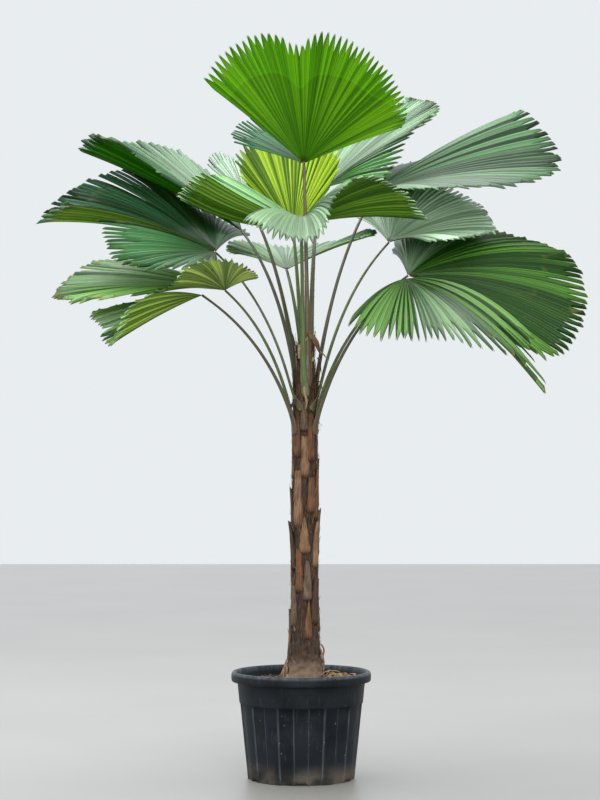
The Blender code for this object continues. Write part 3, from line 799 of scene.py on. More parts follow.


# ribs: each row is a Rib. apex, notch: place and depth of the notch at the midrib. splits: where
# the fan is torn and how deep. upper, under: colours of its faces, each set lighter or darker with
# the light and shade that falls on that frond painted in. glow: light that comes through.
# band: place of the fold print, or 0 for none. dry: how dry the teeth are.
# shine: how waxy and glossy the upper face is, and how pale its painted sheen is. The field after
# it: middle, half width and strength of a painted sheen, the palest part of the upper face.
# combs: stretches of the rim, from and to, where every leaflet stands free, and how deep.
FRONDS = (
    Frond("top", "bright", (0.01, -0.08, 2.28), 0.45, 0.05, 0.38, 0.13, (
        (182, 39, 1.06), (190, 52, 1.11), (205, 68, 1.12), (265, 78, 1.1), (330, 66, 1.06),
        (339, 41, 1.02), (340, 24, 0.98), (332, 14, 0.93)),
        (), (0.08, 0.2, 0.018), (0.085, 0.24, 0.001), (0.23, 0.6, 0.001), 0.62, 0.2, 0.5,
        combs=((0.0, 1.0, 0.12),)),
    Frond("top_split", "dark", (0.009, -0.079, 2.279), 0.45, 0.05, 0.5, 0.0, (
        (105, 36, 0.8), (122, 33, 0.88), (136, 28, 0.88), (146, 23, 0.8), (153, 18, 0.68)),
        (), (0.016, 0.095, 0.028), (0.11, 0.28, 0.012), (0.18, 0.6, 0.03), 0.0, 0.2, 0.2,
        combs=((0.0, 1.0, 0.26),)),
    Frond("young", "lime", (-0.03, 0.2, 2.058), 0.46, 0.05, 0.5, 0.04, (
        (50, 38, 0.55), (55, 45), (75, 60), (110, 60), (136, 48), (132, 38, 0.85), (122, 28, 0.6)),
        (), (0.3, 0.5, 0.015), (0.3, 0.5, 0.02), (0.6, 0.8, 0.03), 0.0, 0.1, 0.2,
        combs=((0.0, 1.0, 0.12),)),
    Frond("far_right", "mid", (0.082, 0.52, 2.256), 0.61, 0.15, 0.5, 0.04, (
        (-52, 0, 0.64), (-47, 10, 0.72), (-42, 21, 0.8), (-18, 31, 0.9), (15, 42, 0.96), (60, 38),
        (105, 25, 0.9)),
        ((0.1, 0.25), (0.16, 0.3), (0.22, 0.22), (0.3, 0.28), (0.55, 0.2)),
        (0.05, 0.19, 0.035), (0.1, 0.32, 0.02), (0.28, 0.75, 0.04), 0.0, 0.2, 0.6, (0.35, 0.2, 0.3),
        ((0.05, 0.4, 0.26),)),
    Frond("front", "dark", (0.0, -0.2, 2.04), 0.46, 0.2, 0.3, 0.03, (
        (238, -2, 0.85, 0.5), (250, -7, 1.0, 0.5), (264, -13, 1.0, 0.5), (278, -12, 1.0, 0.5),
        (285, 5, 1.0, 0.3), (299, 17), (325, 12), (348, 1), (375, 8), (400, 14, 0.9),
        (430, 10, 0.7)),
        ((0.33, 0.1), (0.62, 0.2), (0.66, 0.15)),
        (0.08, 0.21, 0.05), (0.085, 0.2, 0.015), (0.3, 0.6, 0.03), 0.0, 0.4, 0.7,
        (0.14, 0.16, 0.36),
        ((0.0, 0.36, 0.1), (0.6, 0.8, 0.16))),
    Frond("front_split", "bright", (0.0, -0.2, 2.04), 0.46, 0.12, 0.5, 0.0, (
        (100, 12, 0.7), (135, 28, 0.95), (158, 24, 1.0, -0.1), (175, 13.5, 1.0, -0.35),
        (195, 16, 1.0, -0.3), (215, 21, 1.0, -0.1)),
        ((0.3, 0.14), (0.48, 0.22)),
        (0.08, 0.28, 0.05), (0.1, 0.22, 0.025), (0.4, 0.65, 0.05), 0.0, 0.8, 0.5,
        combs=((0.4, 0.7, 0.16),)),
    Frond("upper_left", "bright", (-0.228, 0.27, 2.065), 0.7, 0.12, 0.5, 0.03, (
        (97, 23, 0.8), (107, 28, 0.95), (120, 33), (137, 35), (160, 31), (180, 26.5), (203, 28),
        (215, 27), (224, 25, 0.97), (230, 21.5, 0.6)),
        ((0.14, 0.3), (0.22, 0.36), (0.3, 0.24), (0.37, 0.42), (0.45, 0.3), (0.52, 0.34)),
        (0.032, 0.095, 0.032), (0.035, 0.17, 0.004), (0.16, 0.6, 0.006), 0.0, 0.3, 0.3,
        (0.25, 0.14, 0.2),
        ((0.04, 0.62, 0.3),)),
    Frond("left", "dark", (-0.32, 0.0, 1.96), 0.64, 0.22, 0.45, 0.03, (
        (75, 12, 0.8), (105, 25, 0.96), (122, 32), (137, 34.5, 1.02), (150, 30, 0.98), (165, 23),
        (184, 10, 1.04), (196, 12), (208, 14, 0.96)),
        ((0.3, 0.22), (0.35, 0.28), (0.4, 0.26), (0.45, 0.4), (0.5, 0.3), (0.55, 0.46),
         (0.62, 0.26), (0.7, 0.2)),
        (0.006, 0.046, 0.015), (0.18, 0.33, 0.04), (0.38, 0.66, 0.1), 0.0, 0.3, 0.18,
        (0.03, 0.1, 0.4),
        ((0.2, 0.62, 0.3),)),
    Frond("left_skirt", "dark", (-0.32, 0.0, 1.96), 0.64, 0.08, 0.5, 0.0, (
        (212, 12, 0.78, 0.2), (221, 3, 0.8, 0.15), (232, -5, 0.9), (245, -10, 0.92),
        (258, -12, 0.83),
        (275, -14.5, 0.55)),
        ((0.12, 0.2), (0.24, 0.3), (0.37, 0.24), (0.5, 0.3), (0.62, 0.22), (0.75, 0.3),
         (0.88, 0.24)),
        (0.022, 0.105, 0.024), (0.11, 0.28, 0.012), (0.22, 0.6, 0.03), 0.0, 0.5, 0.3,
        (0.8, 0.15, 0.2),
        ((0.0, 1.0, 0.24),)),
    Frond("low_left", "olive", (-0.36, -0.2, 1.785), 0.52, 0.1, 0.5, 0.03, (
        (160, -5, 0.6), (185, -10, 0.78), (205, -16, 0.82), (216, -21, 0.88), (226, -24, 0.94),
        (236, -15, 0.97), (242, -8, 0.97), (247, -3, 0.85)),
        ((0.3, 0.12), (0.42, 0.16)),
        (0.085, 0.205, 0.045), (0.205, 0.35, 0.045), (0.5, 0.8, 0.1), 0.0, 0.4, 0.4,
        (0.45, 0.12, 0.4),
        ((0.0, 1.0, 0.12),)),
    Frond("mid_left", "mid", (-0.28, -0.1, 1.81), 0.64, 0.12, 0.4, 0.03, (
        (100, 8, 0.6), (136, 13), (160, 6), (182, 0), (208, -5, 1.0, 0.18), (221, -6, 0.95, 0.2),
        (233, -5, 0.64, 0.15), (245, -1, 0.66), (256, 5, 0.78), (269, 9, 0.76), (284, 9, 0.6),
        (300, 7, 0.4)),
        ((0.58, 0.24), (0.63, 0.45), (0.66, 0.7), (0.69, 0.5)),
        (0.085, 0.23, 0.04), (0.4, 0.58, 0.1), (0.55, 0.8, 0.13), 0.0, 1.0, 0.4, (0.34, 0.14, 0.3),
        ((0.12, 0.5, 0.26), (0.7, 1.0, 0.12))),
    Frond("upper_right", "blue", (0.29, 0.2, 2.215), 0.7, 0.15, 0.45, 0.0, (
        (-60, -6, 0.3), (-42, -3.5, 0.48, 0.22), (-24, -1, 0.8, 0.2), (-10, 5, 0.98), (3, 12, 1.02),
        (13, 20, 1.03), (24, 28, 1.04), (45, 24), (70, 16), (95, 15, 0.85)),
        ((0.14, 0.24), (0.22, 0.2), (0.3, 0.34), (0.36, 0.15)),
        (0.04, 0.12, 0.038), (0.08, 0.24, 0.03), (0.2, 0.62, 0.07), 0.0, 0.3, 0.5,
        (0.18, 0.12, 0.3),
        ((0.0, 0.45, 0.13),)),
    Frond("mid_right", "grey", (0.33, 0.1, 2.005), 0.48, 0.2, 0.5, 0.03, (
        (-70, -5, 0.8), (-40, 0, 0.9), (0, 8, 0.85), (35, 22), (65, 36), (90, 32), (110, 20, 0.8)),
        (),
        (0.22, 0.4, 0.2), (0.1, 0.28, 0.03), (0.3, 0.7, 0.12), 0.0, 0.2, 0.9, (0.66, 0.45, 0.9),
        ((0.3, 1.0, 0.12),)),
    Frond("right", "dark", (0.39, -0.15, 1.86), 0.68, 0.25, 0.45, 0.03, (
        (-36, -30, 0.8), (-20, -29, 0.93), (-8, -21, 0.97), (8, -4), (18, 5.5, 1.03), (28, 11.5),
        (40, 15, 0.97), (52, 18.5, 0.97), (64, 22, 0.98), (77, 24, 0.95), (90, 23, 0.85),
        (98, 18, 0.55)),
        ((0.36, 0.24), (0.52, 0.18), (0.56, 0.3), (0.6, 0.34), (0.65, 0.26), (0.74, 0.18)),
        (0.038, 0.125, 0.01), (0.11, 0.3, 0.02), (0.24, 0.7, 0.02), 0.0, 0.5, 0.2,
        (0.92, 0.22, 0.9),
        ((0.45, 0.7, 0.18), (0.8, 1.0, 0.12))),
    Frond("low_right", "mid", (0.38, -0.2, 1.845), 0.56, 0.25, 0.45, 0.03, (
        (240, -22, 0.87), (252, -27, 0.93), (268, -29, 0.92), (284, -29, 0.88), (297, -30, 0.95),
        (305, -29, 1.08), (312, -29, 1.14, 0.3), (318, -34, 1.35, 0.35), (325, -28, 1.04, 0.45),
        (332, -24, 1.0, 0.5)),
        ((0.36, 0.66), (0.5, 0.2), (0.66, 0.34), (0.76, 0.42), (0.86, 0.3)),
        (0.07, 0.18, 0.028), (0.14, 0.32, 0.02), (0.28, 0.68, 0.04), 0.0, 0.7, 0.4,
        (0.5, 0.16, 0.3),
        ((0.0, 0.55, 0.17), (0.55, 1.0, 0.22))),
    Frond("back", "olive", (-0.056, 0.28, 1.917), 0.52, 0.12, 0.5, 0.03, (
        (-12, 24, 0.55), (8, 22, 0.72), (35, 24, 0.85), (62, 18), (90, 16), (118, 18, 0.9),
        (143, 18, 0.6), (170, 20, 0.4)),
        (),
        (0.11, 0.3, 0.07), (0.11, 0.28, 0.012), (0.3, 0.6, 0.04), 0.0, 0.3, 0.5, (0.4, 0.3, 0.7)),
    Frond("far_left", "blue", (-0.21, 0.35, 2.19), 0.44, 0.12, 0.5, 0.03, (
        (72, 18, 0.8), (90, 28), (106, 33), (118, 34, 0.9), (129, 32, 0.7)),
        ((0.3, 0.2),),
        (0.08, 0.19, 0.08), (0.09, 0.24, 0.04), (0.28, 0.6, 0.11), 0.0, 0.2, 0.6, (0.5, 0.4, 0.4),
        ((0.0, 1.0, 0.2),)),
)
LEAFLET_PITCH = math.radians(2.9)
LEAFLET_COLUMNS = 5
BLADE_STEPS = (0.0, 0.06, 0.13, 0.21, 0.29, 0.37, 0.45, 0.52, 0.59, 0.66, 0.72, 0.77, 0.82, 0.86,
               0.89, 0.915, 0.94, 0.965, 0.985, 1.0)
BLADE_THICKNESS = 0.0009
BLADE_FOOT = 0.006
FOLD_HEIGHT = 0.42
TOOTH_DEPTH = 0.1
TOOTH_NARROWING = 0.84
TOOTH_NIP = 0.2
TOOTH_DROOP = 0.006
RUFFLE_HEIGHT = 0.016
NOTCH_SPREAD = 0.06
MIDRIB_LEAFLET = 17
# The share of the light that shines through, which is more in the two youngest leaves
LIT_SHARE = 0.24
THIN_SHARE = 0.42
THIN_LEAVES = ("top", "young")


def direction(heading, rise):
    flat = math.cos(math.radians(rise))
    return np.array((
        flat * math.cos(math.radians(heading)),
        flat * math.sin(math.radians(heading)),
        math.sin(math.radians(rise)),
    ))


def smooth_curve(rows, steps):
    """Points of a smooth curve through all the given rows, steps to each stretch."""
    rows = np.array(rows, dtype=float)
    ends = np.vstack((2 * rows[0] - rows[1], rows, 2 * rows[-1] - rows[-2]))
    fine = []
    for a, b, c, d in zip(ends, ends[1:], ends[2:], ends[3:]):
        for t in np.linspace(0, 1, steps, endpoint=False):
            fine.append(0.5 * (2 * b + (c - a) * t + (2 * a - 5 * b + 4 * c - d) * t ** 2
                               + (3 * b - a - 3 * c + d) * t ** 3))
    return np.array(fine + [rows[-1]])


def fan_curve(frond):
    """The frond's ribs joined by a smooth curve: angle passed, and direction, share and bow."""
    rows = np.array([
        (*direction(r.heading, r.rise), r.share, frond.bow if r.bow is None else r.bow)
        for r in (Rib(*row) for row in frond.ribs)
    ])
    fine = smooth_curve(rows, 24)
    fine[:, :3] /= np.linalg.norm(fine[:, :3], axis=1, keepdims=True)
    turn = np.arccos(np.clip(np.sum(fine[1:, :3] * fine[:-1, :3], axis=1), -1, 1))
    return np.concatenate(((0.0,), np.cumsum(turn))), fine


def fan_at(passed, fine, across):
    """Direction, share and bow of the ribs at the given shares of the whole fan."""
    found = np.stack([np.interp(across * passed[-1], passed, column) for column in fine.T], axis=-1)
    found[..., :3] /= np.linalg.norm(found[..., :3], axis=-1, keepdims=True)
    return found


def blade_points(frond, seed):
    """Points of the pleated blade, [column, step, xyz], with LEAFLET_COLUMNS for each leaflet."""
    chance = np.random.default_rng(seed)
    passed, fine = fan_curve(frond)
    count = max(6, round(passed[-1] / LEAFLET_PITCH))
    clefts = TOOTH_DEPTH * chance.uniform(0.75, 1.25, count + 1)
    for start, end, depth in frond.combs:
        free = slice(round(start * count), round(end * count) + 1)
        clefts[free] = depth * chance.uniform(0.6, 1.3, len(clefts[free]))
    for place, depth in frond.splits:
        clefts[round(place * count)] = depth
    steps = np.array(BLADE_STEPS)
    leaflet = np.repeat(np.arange(count), LEAFLET_COLUMNS)
    part = np.tile(np.linspace(-1, 1, LEAFLET_COLUMNS), count)

    # A leaflet's edges come in towards its fold from where its cleft begins
    left, right = clefts[leaflet], clefts[leaflet + 1]
    depth = np.where(part < 0, left, right)
    past = np.clip((steps[None] - 1 + depth[:, None]) / depth[:, None], 0, 1)
    narrow = 1 - TOOTH_NARROWING * past
    across = (leaflet[:, None] + 0.5 + 0.5 * part[:, None] * narrow) / count
    ribs = fan_at(passed, fine, across)
    ahead = fan_at(passed, fine, np.clip(across + 0.5 / count, 0, 1))
    behind = fan_at(passed, fine, np.clip(across - 0.5 / count, 0, 1))
    normal = np.cross(behind[..., :3], ahead[..., :3])
    normal /= np.linalg.norm(normal, axis=-1, keepdims=True)

    # Lengths vary a little from leaflet to leaflet, and each tooth is nipped at its fold
    notch = 1 - frond.notch * np.exp(-((across - frond.apex) / NOTCH_SPREAD) ** 2)
    uneven = 1 + chance.uniform(-0.018, 0.01, count)[leaflet][:, None] * past
    nip = 1 - TOOTH_NIP * TOOTH_DEPTH * (1 - np.abs(part[:, None])) * (steps[None] > 0.97)
    length = frond.length * ribs[..., 3] * notch
    along = BLADE_FOOT + (length - BLADE_FOOT) * steps[None] * uneven * nip
    share = along / length
    points = np.array(frond.hub) + ribs[..., :3] * along[..., None]
    points[..., 2] += length * ribs[..., 4] * (share - share ** 2)

    # Pleats, then the slow waves that ruffle the whole fan, then each tooth's own droop
    width = passed[-1] / count * along
    fold = FOLD_HEIGHT * chance.uniform(0.65, 1.2, count)[leaflet][:, None]
    pleat = (fold * (1 - np.abs(part[:, None]) ** 1.1) - 0.5 * FOLD_HEIGHT) * width
    waves = np.zeros_like(across)
    for k in (2, 3, 5, 8):
        waves += chance.uniform(-1, 1) / k * np.sin(2 * math.pi * (k * across + chance.uniform()))
    ruffle = RUFFLE_HEIGHT * frond.length * waves * share ** 2
    droop = frond.length * TOOTH_DROOP * chance.normal(0, 1, count)[leaflet][:, None] * past ** 2
    points += normal * (pleat + ruffle + droop)[..., None]
    return points, leaflet, part


def make_blade(frond, seed):
    points, leaflet, part = blade_points(frond, seed)
    bm = bmesh.new()
    made, faces = lay(bm, points)
    figure = bm.loops.layers.uv["UVMap"]
    columns = points.shape[0] - 1
    between = []
    for face in faces:
        places = [round(loop[figure].uv.x * columns) for loop in face.loops]
        if len({leaflet[c] for c in places}) > 1:
            between.append(face)
        for loop, c in zip(face.loops, places):
            r = round(loop[figure].uv.y * (len(BLADE_STEPS) - 1))
            loop[figure].uv = (leaflet[c] + 0.5 + 0.5 * part[c], BLADE_STEPS[r])
    bmesh.ops.delete(bm, geom=between, context="FACES")
    bmesh.ops.reverse_faces(bm, faces=bm.faces)
    leaf = raise_piece(bm, "leaf_" + frond.name, closed=False)
    skin = leaf.modifiers.new("two faces", "SOLIDIFY")
    skin.thickness = BLADE_THICKNESS
    skin.offset = 0.0
    skin.material_offset = 1
    skin.material_offset_rim = 1
    return leaf


def leaf_figure():
    """Colour, roughness and relief of a pleated leaf, from the place across and along it."""
    group, f, given = new_group(
        "leaf_figure",
        {"Place": "Vector", "Green": "Color", "Band": "Float", "Dry": "Float", "Rib": "Float",
         "Stripe": "Float", "Bloom": "Float", "SheenLift": "Float"},
        {"Colour": "Color", "Roughness": "Float", "Relief": "Float", "Print": "Float"})
    parts = f.split(given["Place"])
    across, along = parts["X"], parts["Y"]
    solid = f.solid()

    # Fine veins run along each leaflet, leaflets differ a little, and the blade clouds slowly
    veins = f.grain(f.stretched(given["Place"], 9.0, 0.9, 1.0), 1.0)
    own = f.chance(f.sum("FLOOR", across))
    clouds = f.grain(solid, 7.0, 2.0)
    tone = f.plus(f.times(veins, 0.55), f.times(own, 0.3))
    tone = f.plus(f.plus(tone, f.times(clouds, 0.45)), 0.4)
    # Where the blade was folded in bud there is a pale line, and it is lighter beyond
    has_band = f.ease(given["Band"], 0.05, 0.1)
    aside = f.minus(across, MIDRIB_LEAFLET)
    arch = f.times(f.times(aside, aside), 0.0005)
    wander = f.times(f.sum("ABSOLUTE", f.sum("SINE", f.times(aside, 0.19))), 0.05)
    off = f.minus(f.minus(along, given["Band"]), f.plus(arch, wander))
    beyond = f.times(f.ease(off, 0.0, 0.012), has_band)
    line = f.times(f.ease(f.sum("ABSOLUTE", off), 0.014, 0.0), has_band)
    printed = f.plus(f.times(beyond, 0.22), f.times(line, 0.3))
    tone = f.plus(tone, printed)
    shade = f.add("CombineColor", {0: tone, 1: tone, 2: tone}).outputs[0]
    colour = f.blend(1.0, given["Green"], shade, "MULTIPLY")

    # Each side of each fold is painted either with a pale sheen or with deep green shade, and painted
    # shade darkens the cleft and a band beside each fold
    side = f.sum("FRACT", across)
    half = f.chance(f.sum("FLOOR", f.times(across, 2.0)))
    groups = f.grain(f.stretched(given["Place"], 0.3, 0.5, 1.0), 1.0, 2.0)
    sheen_mask = f.plus(half, f.times(groups, 0.9))
    sheen_mask = f.plus(sheen_mask, f.ease(side, 0.4, 0.6, 0.0, 0.25))
    sheen_mask = f.ease(f.plus(sheen_mask, f.times(veins, 0.3)), 0.95, 1.4)
    # deep is the painted shade side of a fold, and the pale colour made next is the painted sheen
    # side.
    deep = f.blend(1.0, colour, (0.15, 0.27, 0.15, 1), "MULTIPLY")
    sheen_colour = f.blend(1.0, given["Green"], (2.5, 2.0, 2.5, 1), "MULTIPLY")
    sheen_colour = f.blend(given["SheenLift"], sheen_colour, (0.06, 0.08, 0.06, 1), "ADD")
    colour = f.blend(given["Stripe"], colour, f.blend(sheen_mask, deep, sheen_colour))
    from_fold = f.sum("ABSOLUTE", f.minus(side, 0.5))
    fold_band_shade = f.times(f.ease(from_fold, 0.05, 0.1), f.ease(from_fold, 0.24, 0.12))
    fold_band_shade = f.times(f.times(fold_band_shade, given["Stripe"]), 0.75)
    # cleft carries the painted shade in the valley between leaflets and in the bands beside each fold.
    cleft = f.sum("MAXIMUM", f.ease(from_fold, 0.38, 0.47, 0.0, 0.8), fold_band_shade)
    colour = f.blend(cleft, colour, (0.2, 0.3, 0.2, 1), "MULTIPLY")
    # A painted sheen: pale green laid over the part of the fan that the frond picks out.
    bloom = f.times(given["Bloom"], f.ease(sheen_mask, 0.0, 0.8, 0.45, 1.0))
    colour = f.blend(bloom, colour, (0.38, 0.52, 0.37, 1))
    # Painted shade: the blade darkens towards its hub.
    heart = f.ease(along, 0.6, 0.08, 0.0, 0.55)
    colour = f.blend(heart, colour, (0.22, 0.3, 0.22, 1), "MULTIPLY")

    # A pale rib stands along each fold, strongest near the tawny hub
    fold = f.times(f.ease(from_fold, 0.07, 0.0), f.ease(along, 1.0, 0.1, 0.25, 1.0))
    fold = f.times(fold, given["Rib"])
    colour = f.blend(fold, colour, (0.2, 0.33, 0.09, 1))
    colour = f.blend(f.ease(along, 0.05, 0.0, 0.0, 0.7), colour, (0.1, 0.07, 0.03, 1))

    # Dry tips, yellowing near the rim, and scattered brown specks
    reach = f.times(f.minus(veins, 0.45), 0.1)
    tip = f.ease(f.plus(along, reach), 0.985, 1.01)
    tip = f.times(tip, f.ease(given["Dry"], 0.2, 1.0, 0.1, 0.8))
    colour = f.blend(tip, colour, (0.17, 0.1, 0.045, 1))
    patches = f.times(f.ease(f.grain(solid, 16.0, 1.0), 0.62, 0.72), f.ease(along, 0.55, 1.0))
    yellow = f.times(f.times(patches, given["Dry"]), 0.6)
    colour = f.blend(yellow, colour, (0.26, 0.27, 0.05, 1))
    speck = f.add("TexVoronoi", {"Vector": solid, "Scale": 46.0}).outputs["Distance"]
    rare = f.ease(f.grain(solid, 9.0), 0.55, 0.7)
    spot = f.times(f.times(f.ease(speck, 0.16, 0.08), rare), given["Dry"])
    colour = f.blend(spot, colour, (0.11, 0.045, 0.02, 1))

    relief = f.plus(f.times(veins, 0.6), f.times(fold, 0.8))
    return end_group(group, Colour=colour, Relief=relief, Print=printed,
                     Roughness=f.ease(clouds, 0.2, 0.8, 0.32, 0.48))


LEAF_FIGURE = leaf_figure()


def leaf_skin(frond, face):
    """The upper face is smooth and waxen, the lower one dull, both ribbed along their folds, and
    daylight from behind shows through both with the veins in it, brighter beyond the fold print."""
    upper = face == "upper"
    material, f = new_finish(face + "_" + frond.name)
    place = f.place()
    # Stripe sets how strongly the painted sheen and shade of the pleat sides show; the upper face's
    # shine also pales its painted sheen.
    figure = f.add("Group", {
        "Place": place, "Green": (*(frond.upper if upper else frond.under), 1), "Band": frond.band,
        "Dry": frond.dry, "Rib": 0.4 if upper else 0.34, "Stripe": 0.9 if upper else 0.55,
        "SheenLift": frond.shine if upper else 0.1}, node_tree=LEAF_FIGURE)
    if upper:
        # The upper face's painted sheen is strongest at the middle given for the frond and fades to
        # either side.
        count = fan_curve(frond)[0][-1] / LEAFLET_PITCH
        middle, half, strength = frond.bloom
        across = f.split(place)["X"]
        aside = f.sum("ABSOLUTE", f.minus(across, middle * count))
        bloom = f.ease(aside, half * count * 1.2 + 0.1, half * count * 0.6, 0.0, strength)
        material.node_tree.links.new(bloom, figure.inputs["Bloom"])
    bump = f.add("Bump", {"Height": figure.outputs["Relief"], "Strength": 0.5, "Distance": 0.0006})
    skin = f.add("BsdfPrincipled", {
        "Base Color": figure.outputs["Colour"], "Roughness": figure.outputs["Roughness"],
        "Normal": bump.outputs[0], "Specular IOR Level": frond.shine if upper else 0.08})
    veins = f.grain(f.stretched(place, 7.0, 0.7, 1.0), 1.0)
    through = f.blend(f.ease(veins, 0.35, 0.65), (*(0.72 * np.array(frond.glow)), 1),
                      (*frond.glow, 1))
    lit = f.plus(figure.outputs["Print"], 0.85)
    lit = f.add("CombineColor", {0: lit, 1: lit, 2: lit}).outputs[0]
    through = f.blend(1.0, through, lit, "MULTIPLY")
    behind = f.add("BsdfTranslucent", {"Color": through})
    share = THIN_SHARE if frond.name in THIN_LEAVES else LIT_SHARE
    mixed = f.add("MixShader", {0: share, 1: skin.outputs[0], 2: behind.outputs[0]})
    f.add("OutputMaterial", {"Surface": mixed.outputs[0]})
    return material


for number, frond in enumerate(FRONDS):
    leaf = make_blade(frond, 100 + number)
    leaf.data.materials.append(leaf_skin(frond, "upper"))
    leaf.data.materials.append(leaf_skin(frond, "under"))
    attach(leaf, "root")
    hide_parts("blade_" + frond.name)


# Crown heart: torn brown sheaths, bracts and dead stubs where the stalks crowd together at the
# top of the trunk, laced with fibre, and a pale bud among them.
Scrap = namedtuple("Scrap", "path wide thick shade")
SCRAPS = (
    Scrap(((0.016, -0.035, 1.69), (0.024, -0.046, 1.66), (0.042, -0.052, 1.64),
           (0.058, -0.046, 1.615), (0.067, -0.03, 1.585)), 0.0105, 0.0022, 0),
    Scrap(((-0.006, -0.052, 1.56), (-0.005, -0.06, 1.598), (0.006, -0.062, 1.618),
           (0.024, -0.058, 1.637)), 0.0075, 0.0014, 1),
    Scrap(((-0.015, -0.026, 1.572), (-0.02, -0.03, 1.602), (-0.0265, -0.031, 1.628),
           (-0.0305, -0.029, 1.645), (-0.039, -0.027, 1.668)), 0.003, 0.0026, 2),
    Scrap(((-0.02, -0.04, 1.412), (-0.029, -0.044, 1.395), (-0.04, -0.042, 1.382),
           (-0.0425, -0.04, 1.37), (-0.035, -0.04, 1.362), (-0.0385, -0.04, 1.344)),
          0.0055, 0.0014, 2),
    Scrap(((0.058, -0.034, 1.566), (0.07, -0.036, 1.546), (0.0725, -0.036, 1.524),
           (0.074, -0.034, 1.505)), 0.0022, 0.0012, 2),
    Scrap(((0.06, -0.034, 1.482), (0.0735, -0.037, 1.47), (0.077, -0.037, 1.452),
           (0.084, -0.036, 1.436)), 0.0022, 0.0012, 0),
    Scrap(((0.062, -0.02, 1.592), (0.076, -0.024, 1.584), (0.086, -0.024, 1.574),
           (0.094, -0.022, 1.562)), 0.003, 0.001, 1),
    Scrap(((0.014, -0.046, 1.47), (0.012, -0.05, 1.438), (0.02, -0.05, 1.402),
           (0.016, -0.052, 1.372)), 0.005, 0.0016, 1),
    Scrap(((0.042, -0.04, 1.552), (0.043, -0.044, 1.558), (0.044, -0.044, 1.566)),
          0.0045, 0.0035, 3),
)
SCRAP_SHADES = (
    ("sheath_brown", (0.06, 0.03, 0.016, 1), (0.22, 0.12, 0.062, 1)),
    ("bract_tan", (0.13, 0.08, 0.045, 1), (0.4, 0.27, 0.16, 1)),
    ("dead_stub", (0.016, 0.01, 0.008, 1), (0.075, 0.045, 0.03, 1)),
    ("bud_green", (0.11, 0.17, 0.06, 1), (0.36, 0.48, 0.2, 1)),
)
BRACT_COUNT = 46
TUFT_COUNT = 520


def along_path(points, count):
    """count points evenly spaced on a smooth curve through the given ones."""
    fine = smooth_curve(points, 12)
    gone = np.concatenate(((0.0,), np.cumsum(np.linalg.norm(np.diff(fine, axis=0), axis=1))))
    want = np.linspace(0, gone[-1], count)
    return np.stack([np.interp(want, gone, column) for column in fine.T], axis=1)


def make_heart():
    chance = np.random.default_rng(31)
    bm = bmesh.new()
    for scrap in SCRAPS:
        spine = along_path(scrap.path, 18)
        ahead = unit(np.gradient(spine, axis=0))
        side = unit(np.cross(ahead, (0.0, -1.0, 0.0)))
        t = np.linspace(0, 1, 18)
        shape = scrap.wide * np.sin(math.pi * (0.2 + 0.76 * t)) ** 0.6
        shape = shape * (1 + 0.1 * np.sin(11 * t))
        out = unit(np.cross(side, ahead))
        for face in loft(bm, spine, side, out, shape, scrap.thick, scrap.thick, sides=10)[1]:
            face.material_index = scrap.shade
    for k in range(BRACT_COUNT):
        low = 1.33 + 0.27 * k / BRACT_COUNT
        heading = math.radians(k * LEAF_TURN + 20) + chance.normal(0, 0.2)
        long, wide = chance.uniform(0.035, 0.095), chance.uniform(0.005, 0.013)
        t = np.linspace(0, 1, 10)
        height = low + long * t
        turn = heading + chance.normal(0, 0.25) * t
        proud = trunk_radius(np.minimum(height, 1.5)) - 0.004 + chance.uniform(0.001, 0.01) * t ** 2
        shape = wide * (1 - 0.9 * t ** 2) * (1 + 0.12 * np.sin(13 * t + chance.uniform(0, 6)))
        shade = int(chance.choice((0, 1, 2), p=(0.6, 0.1, 0.3)))
        for face in add_strip(bm, turn, height, proud, shape, 0.0022, 0.001, 8)[1]:
            face.material_index = shade
    steps = np.linspace(0, 1, 8)
    for _ in range(TUFT_COUNT):
        low = chance.uniform(1.34, 1.61)
        heading = chance.uniform(0, 2 * math.pi)
        long = chance.uniform(0.02, 0.08)
        height = low + long * steps * chance.choice((1, -1), p=(0.6, 0.4))
        turn = heading + chance.normal(0, 0.7) * steps + 0.3 * np.sin(9 * steps + chance.uniform(0, 6))
        proud = trunk_radius(np.clip(height, 1.3, 1.54)) + chance.uniform(-0.002, 0.007)
        proud = proud + chance.uniform(0, 0.014) * steps ** 2
        thick = chance.uniform(0.0004, 0.001) * (1 - 0.5 * steps)
        for face in add_strip(bm, turn, height, proud, thick, thick, thick, 4)[1]:
            face.material_index = int(chance.integers(0, 3) == 0) * 2
    return raise_piece(bm, "crown_heart")


heart = make_heart()
for shade, dark, light in SCRAP_SHADES:
    heart.data.materials.append(dry_fibre(shade, dark, light, (190, 190, 26), 0.001))
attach(heart, "root")


# Floor, light and camera: a pale floor under soft daylight from above, seen from the height and
# distance at which the palm was looked at, with the camera level and its view raised a little.
CAMERA_PLACE = (-0.0045, -8.07, 1.226)
FOCAL_PIXELS = 2166
IMAGE_HEIGHT = 800
HORIZON_ROW = 449


def make_floor():
    bm = bmesh.new()
    bmesh.ops.create_grid(bm, x_segments=1, y_segments=1, size=15)
    mesh = bpy.data.meshes.new("floor")
    bm.to_mesh(mesh)
    bm.free()
    floor = bpy.data.objects.new("floor", mesh)
    bpy.context.scene.collection.objects.link(floor)
    grey = bpy.data.materials.new("pale_floor")
    grey.use_nodes = True
    f = Finish(grey.node_tree)
    shader = grey.node_tree.nodes["Principled BSDF"]
    clouds = f.grain(f.solid(), 0.9, 4.0)
    colour = f.blend(clouds, (0.226, 0.216, 0.203, 1), (0.282, 0.271, 0.252, 1))
    grey.node_tree.links.new(colour, shader.inputs["Base Color"])
    shader.inputs["Roughness"].default_value = 0.45
    mesh.materials.append(grey)


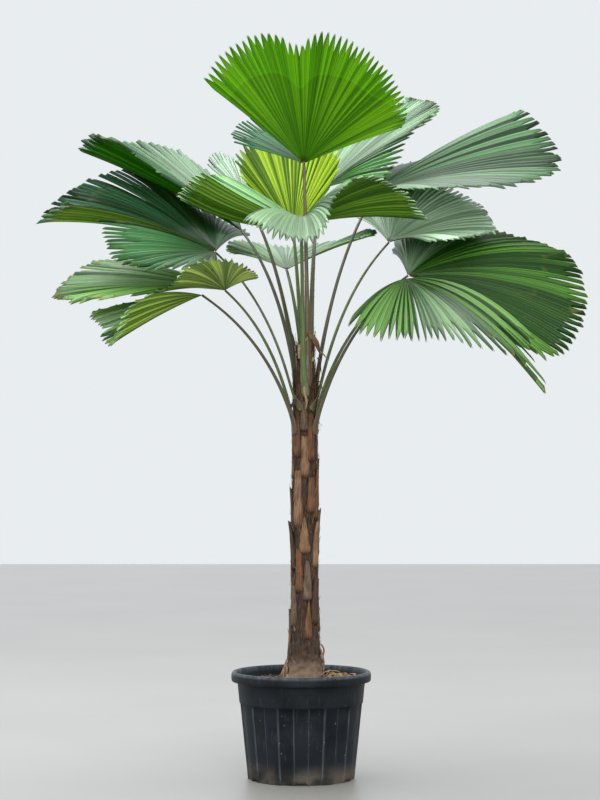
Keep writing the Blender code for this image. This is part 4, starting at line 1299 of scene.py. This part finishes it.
def add_lamp(name, place, aim, width, power, colour):
    lamp = bpy.data.lights.new(name, "AREA")
    lamp.shape = "SQUARE"
    lamp.size = width
    lamp.energy = power
    lamp.color = colour
    holder = bpy.data.objects.new(name, lamp)
    holder.location = place
    holder.rotation_euler = (Vector(aim) - Vector(place)).to_track_quat("-Z", "Y").to_euler()
    bpy.context.scene.collection.objects.link(holder)


def make_camera():
    camera = bpy.data.cameras.new("camera")
    camera.sensor_fit = "VERTICAL"
    camera.sensor_height = 36.0
    camera.lens = FOCAL_PIXELS / IMAGE_HEIGHT * camera.sensor_height
    camera.shift_y = (HORIZON_ROW - IMAGE_HEIGHT / 2) / IMAGE_HEIGHT
    holder = bpy.data.objects.new("camera", camera)
    holder.location = CAMERA_PLACE
    holder.rotation_euler = (math.pi / 2, 0, 0)
    bpy.context.scene.collection.objects.link(holder)
    bpy.context.scene.camera = holder


make_floor()
add_lamp("roof_light", (-0.8, 0.8, 5.2), (0.0, 0.0, 1.6), 3.6, 200, (0.97, 0.99, 1.0))
add_lamp("front_light", (1.2, -7.0, 3.0), (0.0, 0.0, 1.6), 3.0, 260, (1.0, 0.99, 0.97))
make_camera()
bpy.context.scene.view_settings.view_transform = "Standard"
sky = bpy.data.worlds.new("sky")
sky.use_nodes = True
sky.node_tree.nodes.clear()
f = Finish(sky.node_tree)
seen = f.add("LightPath").outputs["Is Camera Ray"]
backdrop = f.add("Background", {"Color": (0.9, 0.94, 0.97, 1), "Strength": 0.9})
way = f.split(f.add("TexCoord").outputs["Generated"])
glow = f.times(f.ease(way["Z"], -0.3, 0.35, 0.8, 1.6), f.ease(way["Y"], -0.7, 0.5, 1.1, 1.0))
glow = f.times(glow, f.ease(way["X"], -0.8, 0.8, 1.1, 0.8))
daylight = f.add("Background", {"Color": (0.92, 0.96, 1.0, 1), "Strength": glow})
both = f.add("MixShader", {0: seen, 1: daylight.outputs[0], 2: backdrop.outputs[0]})
f.add("OutputWorld", {"Surface": both.outputs[0]})
bpy.context.scene.world = sky
